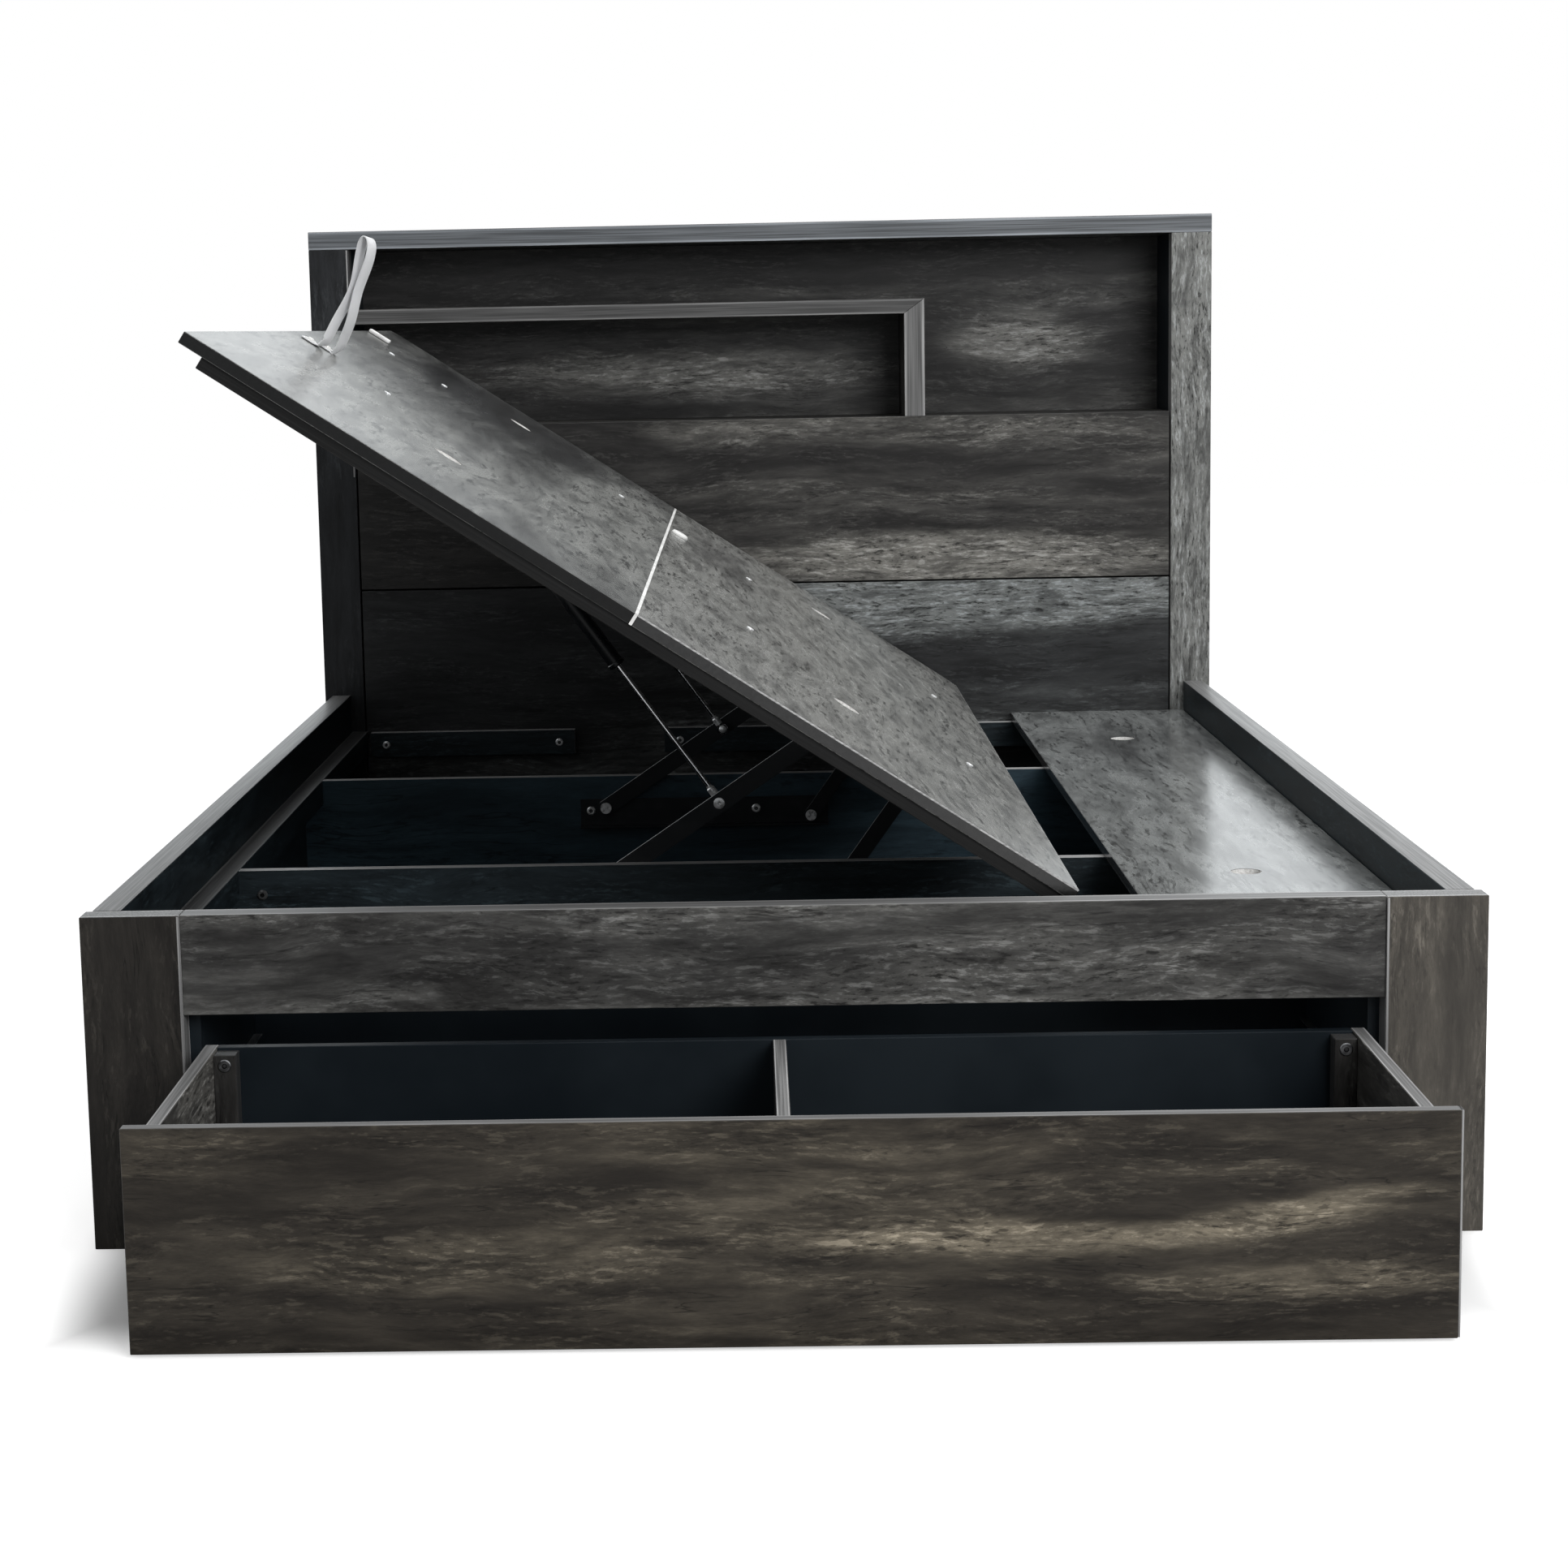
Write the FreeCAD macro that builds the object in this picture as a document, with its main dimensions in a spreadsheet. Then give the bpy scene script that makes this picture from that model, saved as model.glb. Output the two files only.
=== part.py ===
import FreeCAD, Part
import math
import os
import types

import Sketcher
from FreeCAD import Placement, Rotation, Vector

# Storage bed for a 1530 x 2030 mattress: a box frame with a shelf headboard, a lid that two gas-strut
# linkages raise from the side, a fixed platform panel beside it, and a drawer in the foot end.
# X runs across the bed, Y from the foot (-) to the headboard (+), Z up. The origin is on the floor,
# in the middle of the frame with its drawer pulled out. The lid is modelled raised.

SIZES = {
    # Frame
    "inner_half_width": 768,
    "inner_length": 2050,
    "rail_height": 397,
    "rail_board": 18,
    "rail_liner": 16,
    "edge_round": 0.8,
    "foot_post_width": 115.7,
    "foot_post_proud": 7.7,
    "foot_post_thickness": 36,
    "front_rail_height": 118,
    "front_rail_thickness": 34,
    "front_rail_setback": 3,
    # Headboard
    "headboard_height": 1243,
    "headboard_depth": 200,
    "headboard_proud": 13.6,
    "headboard_top_thickness": 32.5,
    "headboard_post_width": 72,
    "headboard_post_thickness": 34,
    "headboard_side_board": 18,
    "headboard_inner_side": 15,
    "back_panel_thickness": 15,
    "niche_floor_drop": 352,
    "niche_floor_thickness": 15,
    "shelf_drop": 140,
    "shelf_thickness": 27,
    "divider_left": 260.5,
    "divider_thickness": 37.5,
    "front_panel_thickness": 16,
    "panel_groove": 3,
    "groove_height": 593,
    "floor_clearance": 20,
    # Platform
    "platform_top": 345,
    "platform_board": 15,
    "seat_gap": 0.3,
    "fixed_panel_width": 316.6,
    "panel_side_gap": 1,
    "panel_end_gap": 4,
    "vent_hole_radius": 20,
    "vent_from_foot": 442,
    "vent_from_headboard": 368,
    "side_cleat_width": 30,
    "side_cleat_height": 40,
    "headboard_cleat_length_share": 0.4922,
    "headboard_cleat_height": 45,
    "headboard_cleat_thickness": 18,
    "headboard_cleat_pitch_share": 0.707,
    "headboard_cleat_drop": 1,
    "cleat_bolt_inset": 29,
    "cross_board_thickness": 18,
    "cross_board_front_at": 644,
    "cross_board_rear_at": 1452,
    "storage_floor_thickness": 9,
    "floor_batten_width": 40,
    "floor_batten_at": 400,
    # Drawer and its bay
    "drawer_out": 373.5,
    "drawer_front_thickness": 16,
    "drawer_front_top": 248.5,
    "drawer_front_bottom": 5,
    "drawer_front_gap": 3.5,
    "drawer_board": 16,
    "drawer_divider_board": 15,
    "drawer_divider_offset": -3.5,
    "drawer_box_top": 246,
    "drawer_box_bottom": 20,
    "drawer_box_depth": 350.5,
    "drawer_bottom_thickness": 9,
    "corner_block": 26,
    "corner_block_drop": 3,
    "cam_radius": 7.5,
    "cam_thickness": 2,
    "cam_drop": 12,
    "bay_side_board": 15,
    "bay_side_inset": 13.3,
    "bay_depth": 364,
    # Drawer runners
    "runner_space": 12.7,
    "runner_height": 45,
    "runner_sheet": 1.5,
    "runner_gap": 0.5,
    "runner_length": 348,
    "runner_centre": 140,
    # Lid
    "lid_length": 1214,
    "lid_front_gap": 15,
    "lid_rear_gap": 17,
    "lid_corner_radius": 30,
    "lid_vent_from_foot": 481,
    "lid_vent_from_headboard": 327,
    "lid_joint_width": 4,
    "lid_batten_width": 60,
    "lid_batten_thickness": 15,
    "lid_batten_edge_gap": 5,
    "lid_batten_end_inset": 31,
    "cross_board_clear": 4,
    "lid_joint_vent_from_joint": 20,
    "lid_joint_vent_from_headboard": 563,
    "lid_joint_vent_radius": 10,
    # Lift linkage, seen in the plane across the bed
    "lid_open_angle": 33.2,
    "arm_open_angle": 34,
    "arm_pivot_left": 270,
    "arm_pivot_height": 278,
    "arm_length": 437.4,
    "arm_width": 26,
    "arm_thickness": 5,
    "lid_pivot_back": 281.6,
    "lid_pivot_drop": 37.3,
    "link_base_right": 67,
    "link_base_height": 262,
    "link_lid_back": 150,
    "link_lid_drop": 34,
    "link_width": 22,
    "link_thickness": 4,
    "strut_on_arm": 235,
    "strut_lid_back": 835,
    "strut_lid_drop": 40,
    "strut_tube_radius": 11,
    "strut_tube_wall": 1.5,
    "strut_tube_length": 262,
    "strut_gland_length": 14,
    "strut_rod_radius": 4,
    "strut_rod_overlap": 34,
    "strut_piston_gap": 0.3,
    "strut_piston_length": 10,
    "strut_eye_thickness": 10,
    "strut_eye_radius": 9,
    "strut_eye_neck": 14,
    "pivot_radius": 5,
    "strut_pivot_radius": 4,
    "pivot_clearance": 0.05,
    "pivot_shoulder": 8,
    "pivot_head_radius": 9,
    "pivot_head_height": 3.5,
    "open_pivot_gap": 0.3,
    "plate_sheet": 3,
    "plate_gap": 1.5,
    "strut_gap": 11.5,
    "base_rail_height": 46,
    "base_rail_under": 16,
    "base_rail_flange": 20,
    "base_rail_left": 312,
    "base_rail_right": 95,
    "base_bolt_left": 295,
    "base_bolt_middle": 23,
    "base_bolt_raise": 4,
    "lid_rail_start": 130,
    "lid_rail_end": 870,
    "lid_rail_leg": 36,
    "lid_rail_flange": 28,
    "rail_screw_inset": 80,
    "rail_screw_radius": 5,
    "rail_screw_height": 2,
    # Bolts
    "bolt_head_radius": 7,
    "bolt_head_height": 3.5,
    "bolt_recess_radius": 3,
    "bolt_recess_share": 0.6,
    "end_bolt_from_rail": 62,
    "end_bolt_height": 296,
    # Pull strap
    "strap_width": 25,
    "strap_thickness": 2,
    "strap_height": 165,
    "strap_loop_radius": 12,
    "strap_foot_spread": 90,
    "strap_from_end": 46,
    "strap_from_foot": 870,
    "strap_lean_angle": 21,
}

doc = FreeCAD.newDocument("StorageBed")
sheet = doc.addObject("Spreadsheet::Sheet", "Sizes")
for row, (alias, number) in enumerate(SIZES.items(), start=1):
    sheet.set("A%d" % row, alias)
    sheet.set("B%d" % row, str(number))
    sheet.setAlias("B%d" % row, alias)
doc.recompute()


class Size:
    """A length that knows both its formula for the document and its present value."""

    def __init__(self, text, number):
        self.text = text
        self.number = float(number)

    def __add__(self, other):
        other = as_size(other)
        return Size("(%s + %s)" % (self.text, other.text), self.number + other.number)

    def __sub__(self, other):
        other = as_size(other)
        return Size("(%s - %s)" % (self.text, other.text), self.number - other.number)

    def __mul__(self, share):
        share = as_size(share)
        return Size("(%s * %s)" % (self.text, share.text), self.number * share.number)

    def __truediv__(self, share):
        share = as_size(share)
        return Size("(%s / %s)" % (self.text, share.text), self.number / share.number)

    def __neg__(self):
        return Size("(0 - %s)" % self.text, -self.number)


def as_size(value):
    if isinstance(value, Size):
        return value
    return Size("%r" % value, value)


def cosine(angle):
    return Size("cos(%s * 1deg)" % angle.text, math.cos(math.radians(angle.number)))


def sine(angle):
    return Size("sin(%s * 1deg)" % angle.text, math.sin(math.radians(angle.number)))


def root_of_squares(across, up):
    return Size("sqrt(pow(%s; 2) + pow(%s; 2))" % (across.text, up.text),
                math.hypot(across.number, up.number))


s = types.SimpleNamespace(**{alias: Size("Sizes." + alias, sheet.get(alias)) for alias in SIZES})
zero = Size("0", 0)
half = 0.5

# Places worked out from the sizes
foot_y = (s.drawer_out - s.inner_length - s.headboard_depth) * half
head_y = foot_y + s.inner_length
back_y = head_y + s.headboard_depth
rail_outer = s.inner_half_width + s.rail_liner + s.rail_board
foot_post_outer = rail_outer + s.foot_post_proud
foot_post_inner = foot_post_outer - s.foot_post_width
front_rail_bottom = s.rail_height - s.front_rail_height
front_rail_back = foot_y + s.front_rail_setback + s.front_rail_thickness
rails_start = foot_y + s.foot_post_thickness
head_outer = rail_outer + s.headboard_proud
head_post_inner = head_outer - s.headboard_post_width
head_top_under = s.headboard_height - s.headboard_top_thickness
niche_floor_top = s.headboard_height - s.niche_floor_drop
shelf_top = s.headboard_height - s.shelf_drop
cleat_pitch = s.inner_half_width * s.headboard_cleat_pitch_share
cleat_reach = s.inner_half_width * s.headboard_cleat_length_share * half
head_post_back = head_y + s.headboard_post_thickness
back_panel_front = back_y - s.back_panel_thickness
platform_under = s.platform_top - s.platform_board
seat_top = platform_under - s.seat_gap
front_cross_y = foot_y + s.cross_board_front_at
rear_cross_y = foot_y + s.cross_board_rear_at
lift_face = front_cross_y + s.cross_board_thickness
lift_middle = (lift_face + rear_cross_y) * half
drawer_face = foot_y - s.drawer_out
drawer_inside = drawer_face + s.drawer_front_thickness
drawer_back_outer = drawer_inside + s.drawer_box_depth
drawer_back_inner = drawer_back_outer - s.drawer_divider_board
bay_side_inner = foot_post_inner - s.bay_side_inset
drawer_side_outer = bay_side_inner - s.runner_space
drawer_side_inner = drawer_side_outer - s.drawer_board
drawer_floor_top = s.drawer_box_bottom + s.drawer_bottom_thickness
bay_back_y = rails_start + s.bay_depth
lid_front = front_rail_back + s.lid_front_gap
lid_rear = head_y - s.lid_rear_gap
lid_half = (s.lid_length - s.lid_joint_width) * half

# Lift linkage: pivots in the raised pose, as places across the bed and heights
arm_tip_x = s.arm_length * cosine(s.arm_open_angle) - s.arm_pivot_left
arm_tip_z = s.arm_length * sine(s.arm_open_angle) + s.arm_pivot_height


def on_lid_x(back, drop):
    return (arm_tip_x - (back - s.lid_pivot_back) * cosine(s.lid_open_angle)
            - (drop - s.lid_pivot_drop) * sine(s.lid_open_angle))


def on_lid_z(back, drop):
    return (arm_tip_z + (back - s.lid_pivot_back) * sine(s.lid_open_angle)
            - (drop - s.lid_pivot_drop) * cosine(s.lid_open_angle))


lid_end_x = on_lid_x(zero, zero)
lid_end_z = on_lid_z(zero, zero)
strut_low_x = s.strut_on_arm * cosine(s.arm_open_angle) - s.arm_pivot_left
strut_low_z = s.strut_on_arm * sine(s.arm_open_angle) + s.arm_pivot_height
strut_high_x = on_lid_x(s.strut_lid_back, s.strut_lid_drop)
strut_high_z = on_lid_z(s.strut_lid_back, s.strut_lid_drop)
strut_span = root_of_squares(strut_high_x - strut_low_x, strut_high_z - strut_low_z)
link_high_x = on_lid_x(s.link_lid_back, s.link_lid_drop)
link_high_z = on_lid_z(s.link_lid_back, s.link_lid_drop)
link_span = root_of_squares(link_high_x - s.link_base_right, link_high_z - s.link_base_height)

# Lift linkage: layers stacked from the face of the cross board
lid_rail_inner = s.open_pivot_gap
lid_rail_outer = lid_rail_inner + s.plate_sheet
arm_inner = lid_rail_outer + s.plate_gap
arm_outer = arm_inner + s.arm_thickness
link_inner = arm_outer + s.plate_gap
link_outer = link_inner + s.link_thickness
strut_layer = arm_outer + s.strut_gap + s.strut_tube_radius
strut_eye_inner = strut_layer - s.strut_eye_thickness * half
strut_eye_outer = strut_layer + s.strut_eye_thickness * half

nodes = []


def bind(item, path, size):
    item.setExpression(path, as_size(size).text)


def finish(name, item):
    """Give a sub-part its name and keep it for the export."""
    item.Label = name
    nodes.append(item)
    return item


def lie(item, x=zero, y=zero, z=zero, about_y=0):
    """Place an object at a bound position, turned about an axis along the bed."""
    item.Placement = Placement(Vector(x.number, y.number, z.number), Rotation(Vector(0, 1, 0), about_y))
    bind(item, "Placement.Base.x", x)
    bind(item, "Placement.Base.y", y)
    bind(item, "Placement.Base.z", z)


def tilt(item, x, y, z, run, rise):
    """Place an object whose own X axis points along the direction (run, rise) across the bed."""
    angle = -math.degrees(math.atan2(rise.number, run.number))
    lie(item, x, y, z, about_y=angle)


def new_body(name):
    return doc.addObject("PartDesign::Body", name.title().replace("_", ""))


def plane(body, role):
    return [part for part in body.Origin.OriginFeatures if part.Role == role][0]


def board(name, x, y, z, rounded=True, frame=None):
    """A plain board between two bound corners, with its edges softened."""
    body = new_body(name)
    blank = body.newObject("PartDesign::AdditiveBox", body.Name + "Board")
    bind(blank, "Length", x[1] - x[0])
    bind(blank, "Width", y[1] - y[0])
    bind(blank, "Height", z[1] - z[0])
    lie(blank, x[0], y[0], z[0])
    if rounded:
        soften(body, blank)
    if frame:
        frame(body)
    return body


def soften(body, feature):
    doc.recompute()
    edge = body.newObject("PartDesign::Chamfer", body.Name + "Edge")
    edge.Base = (feature, [])
    edge.UseAllEdges = True
    bind(edge, "Size", s.edge_round)
    body.Tip = edge
    return edge


def sketch_on(body, role, offset=zero, title="Outline"):
    sketch = body.newObject("Sketcher::SketchObject", body.Name + title)
    sketch.AttachmentSupport = [(plane(body, role), "")]
    sketch.MapMode = "FlatFace"
    sketch.AttachmentOffset = Placement(Vector(0, 0, offset.number), Rotation())
    bind(sketch, "AttachmentOffset.Base.z", offset)
    return sketch


def pin_point(sketch, index, corner, across, up):
    """Fix one end of a sketch element at bound distances from the sketch's origin."""
    for axis, kind, size in ((-2, "DistanceX", across), (-1, "DistanceY", up)):
        if size is zero:
            sketch.addConstraint(Sketcher.Constraint("PointOnObject", index, corner, axis))
            continue
        number = sketch.addConstraint(Sketcher.Constraint(kind, -1, 1, index, corner, size.number))
        bind(sketch, "Constraints[%d]" % number, size)


def draw_outline(sketch, points):
    """A closed outline of straight lines through bound points."""
    ends = [Vector(across.number, up.number, 0) for across, up in points]
    first = None
    for place, (across, up) in enumerate(points):
        line = Part.LineSegment(ends[place], ends[(place + 1) % len(points)])
        index = sketch.addGeometry(line, False)
        first = index if first is None else first
        if place:
            sketch.addConstraint(Sketcher.Constraint("Coincident", index - 1, 2, index, 1))
        pin_point(sketch, index, 1, across, up)
    sketch.addConstraint(Sketcher.Constraint("Coincident", index, 2, first, 1))


def draw_circle(sketch, across, up, radius):
    index = sketch.addGeometry(Part.Circle(Vector(across.number, up.number, 0), Vector(0, 0, 1), radius.number))
    pin_point(sketch, index, 3, across, up)
    number = sketch.addConstraint(Sketcher.Constraint("Radius", index, radius.number))
    bind(sketch, "Constraints[%d]" % number, radius)


def draw_bar(sketch, length, radius):
    """A flat bar with round ends, whose end centres lie on the sketch's X axis, the first at its origin."""
    span, round_end = length.number, radius.number
    up, full = Vector(0, 0, 1), math.pi
    left = sketch.addGeometry(Part.ArcOfCircle(Part.Circle(Vector(0, 0, 0), up, round_end), full / 2, full * 3 / 2))
    right = sketch.addGeometry(Part.ArcOfCircle(Part.Circle(Vector(span, 0, 0), up, round_end), -full / 2, full / 2))
    top = sketch.addGeometry(Part.LineSegment(Vector(span, round_end, 0), Vector(0, round_end, 0)))
    low = sketch.addGeometry(Part.LineSegment(Vector(0, -round_end, 0), Vector(span, -round_end, 0)))
    rule = Sketcher.Constraint
    for first, end, second, start in ((right, 2, top, 1), (top, 2, left, 1), (left, 2, low, 1), (low, 2, right, 1)):
        sketch.addConstraint(rule("Tangent", first, end, second, start))
    pin_point(sketch, left, 3, zero, zero)
    pin_point(sketch, right, 3, length, zero)
    number = sketch.addConstraint(rule("Radius", left, round_end))
    bind(sketch, "Constraints[%d]" % number, radius)


def pad(body, sketch, length, reverse=False, title="Pad"):
    feature = body.newObject("PartDesign::Pad", body.Name + title)
    feature.Profile = sketch
    bind(feature, "Length", length)
    feature.Reversed = reverse
    return feature


def pocket(body, sketch, reverse=False, title="Cut"):
    """Cut a sketch right through, and make sure that something was cut."""
    doc.recompute()
    before = body.Shape.Volume
    feature = body.newObject("PartDesign::Pocket", body.Name + title)
    feature.Profile = sketch
    feature.Type = "ThroughAll"
    feature.Reversed = reverse
    doc.recompute()
    if math.isclose(body.Shape.Volume, before):
        raise RuntimeError(body.Label + ": the cut removed nothing")
    return feature


def turned(name, profile, x=zero, y=zero, z=zero, frame=None):
    """A turned piece: a half profile of (radius, place along the bed), revolved about its own Y axis."""
    body = new_body(name)
    sketch = sketch_on(body, "XY_Plane")
    draw_outline(sketch, profile)
    feature = body.newObject("PartDesign::Revolution", body.Name + "Turn")
    feature.Profile = sketch
    feature.ReferenceAxis = (sketch, ["V_Axis"])
    feature.Angle = 360
    if frame:
        frame(body)
    else:
        lie(body, x, y, z)
    return body


def mirrored(name, source, normal, through=zero):
    """The same piece on the other side of a plane across X or Y."""
    item = doc.addObject("Part::Mirroring", name.title().replace("_", "") + "Mirror")
    item.Source = source
    item.Normal = normal
    if normal.y:
        item.Base = Vector(0, through.number, 0)
        bind(item, "Base.y", through)
    return item


across_bed = Vector(1, 0, 0)
along_bed = Vector(0, 1, 0)


def group(name, items):
    """Several like pieces kept as separate solids of one sub-part."""
    item = doc.addObject("Part::Compound", name.title().replace("_", "") + "Group")
    item.Links = items
    return finish(name, item)


def pair(name, source):
    """A left and a right sub-part from one right-hand piece."""
    finish(name + "_right", source)
    finish(name + "_left", mirrored(name + "_left", source, across_bed))


# Side rails, front rail and foot posts
def make_rails():
    inner, liner = s.inner_half_width, s.inner_half_width + s.rail_liner
    pair("side_rail", board("side_rail", (liner, rail_outer), (rails_start, head_y), (zero, s.rail_height)))
    pair("side_rail_liner",
         board("side_rail_liner", (inner, liner), (rails_start, head_y), (zero, s.rail_height)))
    pair("foot_post", board("foot_post", (foot_post_inner, foot_post_outer), (foot_y, rails_start),
                            (zero, s.rail_height)))
    finish("front_rail", board("front_rail", (-foot_post_inner, foot_post_inner),
                               (foot_y + s.front_rail_setback, front_rail_back),
                               (front_rail_bottom, s.rail_height)))


# Headboard carcass: posts, sides, top, back, niche floor and the two front panels
def make_headboard():
    full = (zero, head_top_under)
    inner_side_outer = head_post_inner + s.headboard_inner_side
    panel_edge = head_post_inner - s.panel_groove
    panel_back = head_y + s.front_panel_thickness
    pair("headboard_post", board("headboard_post", (head_post_inner, head_outer), (head_y, head_post_back), full))
    pair("headboard_side", board("headboard_side", (head_outer - s.headboard_side_board, head_outer),
                                 (head_post_back, back_y), full))
    inner_side = board("headboard_inner_side", (head_post_inner, inner_side_outer),
                       (head_post_back, back_panel_front), full, rounded=False)
    other_side = mirrored("headboard_inner_side", inner_side, across_bed)
    group("headboard_inner_sides", [inner_side, other_side])
    finish("headboard_top", board("headboard_top", (-head_outer, head_outer), (head_y, back_y),
                                  (head_top_under, s.headboard_height)))
    side_face = head_outer - s.headboard_side_board
    finish("headboard_back_panel", board("headboard_back_panel", (-side_face, side_face),
                                         (back_panel_front, back_y), (s.floor_clearance, head_top_under)))
    finish("headboard_niche_floor", board("headboard_niche_floor", (-head_post_inner, head_post_inner),
                                          (panel_back, back_panel_front),
                                          (niche_floor_top - s.niche_floor_thickness, niche_floor_top),
                                          rounded=False))
    for name, low, high in (("headboard_upper_panel", s.groove_height, niche_floor_top),
                            ("headboard_lower_panel", s.floor_clearance, s.groove_height - s.panel_groove)):
        finish(name, board(name, (-panel_edge, panel_edge), (head_y, panel_back), (low, high)))


# Headboard shelf and divider, which meet in a mitre at their front corner
def make_shelf():
    depth = back_panel_front - head_y
    shelf_under = shelf_top - s.shelf_thickness
    divider_right = s.divider_left + s.divider_thickness
    outlines = {
        "headboard_shelf": [(-head_post_inner, shelf_under), (s.divider_left, shelf_under),
                            (divider_right, shelf_top), (-head_post_inner, shelf_top)],
        "headboard_divider": [(s.divider_left, niche_floor_top), (divider_right, niche_floor_top),
                              (divider_right, shelf_top), (s.divider_left, shelf_under)],
    }
    for name, points in outlines.items():
        body = new_body(name)
        sketch = sketch_on(body, "XZ_Plane")
        draw_outline(sketch, points)
        blank = pad(body, sketch, depth, reverse=True)
        soften(body, blank)
        lie(body, y=head_y)
        finish(name, body)


# Cleats that carry the platform: three on the headboard, one along each side
def make_cleats():
    top = seat_top - s.headboard_cleat_drop
    cleats = []
    for place in (-1, 0, 1):
        centre = cleat_pitch * place
        cleats.append(board("headboard_cleat", (centre - cleat_reach, centre + cleat_reach),
                            (head_y - s.headboard_cleat_thickness, head_y),
                            (top - s.headboard_cleat_height, top)))
    group("headboard_cleats", cleats)
    pair("side_cleat", board("side_cleat", (s.inner_half_width - s.side_cleat_width, s.inner_half_width),
                             (rails_start + s.edge_round, head_y), (seat_top - s.side_cleat_height, seat_top)))


# Cross boards, notched at both ends for the side cleats
def make_cross_boards():
    edge, notch = s.inner_half_width, s.inner_half_width - s.side_cleat_width
    step = seat_top - s.side_cleat_height
    points = [(-edge, s.floor_clearance), (edge, s.floor_clearance), (edge, step), (notch, step),
              (notch, seat_top), (-notch, seat_top), (-notch, step), (-edge, step)]
    for name, at in (("cross_board_front", front_cross_y), ("cross_board_rear", rear_cross_y)):
        body = new_body(name)
        sketch = sketch_on(body, "XZ_Plane")
        draw_outline(sketch, points)
        pad(body, sketch, s.cross_board_thickness, reverse=True)
        lie(body, y=at)
        finish(name, body)


# Floor of the storage space and the battens under it
def make_storage_floor():
    edge = s.inner_half_width
    bay_back = bay_back_y + s.bay_side_board
    spans = ((bay_back, front_cross_y), (lift_face, rear_cross_y),
             (rear_cross_y + s.cross_board_thickness, head_y))
    level = (s.floor_clearance, s.floor_clearance + s.storage_floor_thickness)
    group("storage_floor", [board("storage_floor", (-edge, edge), span, level, rounded=False) for span in spans])
    inner, outer = s.floor_batten_at, s.floor_batten_at + s.floor_batten_width
    batten = board("floor_batten", (inner, outer), (bay_back_y, head_y), (zero, s.floor_clearance), rounded=False)
    group("floor_battens", [batten, mirrored("floor_batten", batten, across_bed)])


# Drawer bay: back board and the two side boards that carry the runners
def make_drawer_bay():
    edge = s.inner_half_width
    tall = (s.floor_clearance, front_rail_bottom)
    finish("drawer_bay_back", board("drawer_bay_back", (-edge, edge), (bay_back_y, bay_back_y + s.bay_side_board),
                                    tall, rounded=False))
    side = board("drawer_bay_side", (bay_side_inner, bay_side_inner + s.bay_side_board),
                 (rails_start, bay_back_y), tall, rounded=False)
    group("drawer_bay_sides", [side, mirrored("drawer_bay_side", side, across_bed)])


# Fixed platform panel with its two round vent holes
def make_fixed_panel():
    right = s.inner_half_width - s.panel_side_gap
    left = right - s.fixed_panel_width
    body = board("fixed_platform_panel", (left, right), (front_rail_back + s.panel_side_gap, head_y - s.panel_end_gap),
                 (platform_under, s.platform_top))
    middle = (left + right) * half
    sketch = sketch_on(body, "XY_Plane", title="Vents")
    draw_circle(sketch, middle, foot_y + s.vent_from_foot, s.vent_hole_radius)
    draw_circle(sketch, middle, head_y - s.vent_from_headboard, s.vent_hole_radius)
    pocket(body, sketch, reverse=True)
    finish("fixed_platform_panel", body)


def round_bolt(name, head_radius, head_height, x, y, z):
    """A low round bolt head with a recess, facing the foot end from the surface at y."""
    recess = s.bolt_recess_radius
    floor = head_height * s.bolt_recess_share - head_height
    profile = [(zero, zero), (head_radius, zero), (head_radius, -head_height * half),
               (head_radius - head_height * half, -head_height), (recess, -head_height), (recess, floor),
               (zero, floor)]
    return turned(name, profile, x, y, z)


# Bolt heads that show on the headboard cleats and on the front cross board
def make_frame_bolts():
    bolts = []
    height = seat_top - s.headboard_cleat_drop - s.headboard_cleat_height * half
    reach = cleat_reach - s.cleat_bolt_inset
    for place in (-1, 0, 1):
        for side in (-1, 1):
            bolts.append(round_bolt("cleat_bolt", s.bolt_head_radius, s.bolt_head_height,
                                    cleat_pitch * place + reach * side,
                                    head_y - s.headboard_cleat_thickness, height))
    end = s.inner_half_width - s.end_bolt_from_rail
    for x in (-end, end):
        bolts.append(round_bolt("end_bolt", s.bolt_head_radius, s.bolt_head_height, x, front_cross_y,
                                s.end_bolt_height))
    group("frame_bolts", bolts)


# Drawer: front, sides, back, divider and bottom
def make_drawer():
    tall = (s.drawer_box_bottom, s.drawer_box_top)
    face = foot_post_inner - s.drawer_front_gap
    inside = (drawer_inside, drawer_back_inner)
    finish("drawer_front", board("drawer_front", (-face, face), (drawer_face, drawer_inside),
                                 (s.drawer_front_bottom, s.drawer_front_top)))
    pair("drawer_side", board("drawer_side", (drawer_side_inner, drawer_side_outer),
                              (drawer_inside, drawer_back_outer), tall))
    width = (-drawer_side_inner, drawer_side_inner)
    finish("drawer_back", board("drawer_back", width, (drawer_back_inner, drawer_back_outer), tall))
    left = s.drawer_divider_offset - s.drawer_divider_board * half
    finish("drawer_divider", board("drawer_divider", (left, left + s.drawer_divider_board), inside,
                                   (drawer_floor_top, s.drawer_box_top)))
    finish("drawer_bottom", board("drawer_bottom", width, inside, (s.drawer_box_bottom, drawer_floor_top),
                                  rounded=False))


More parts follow.
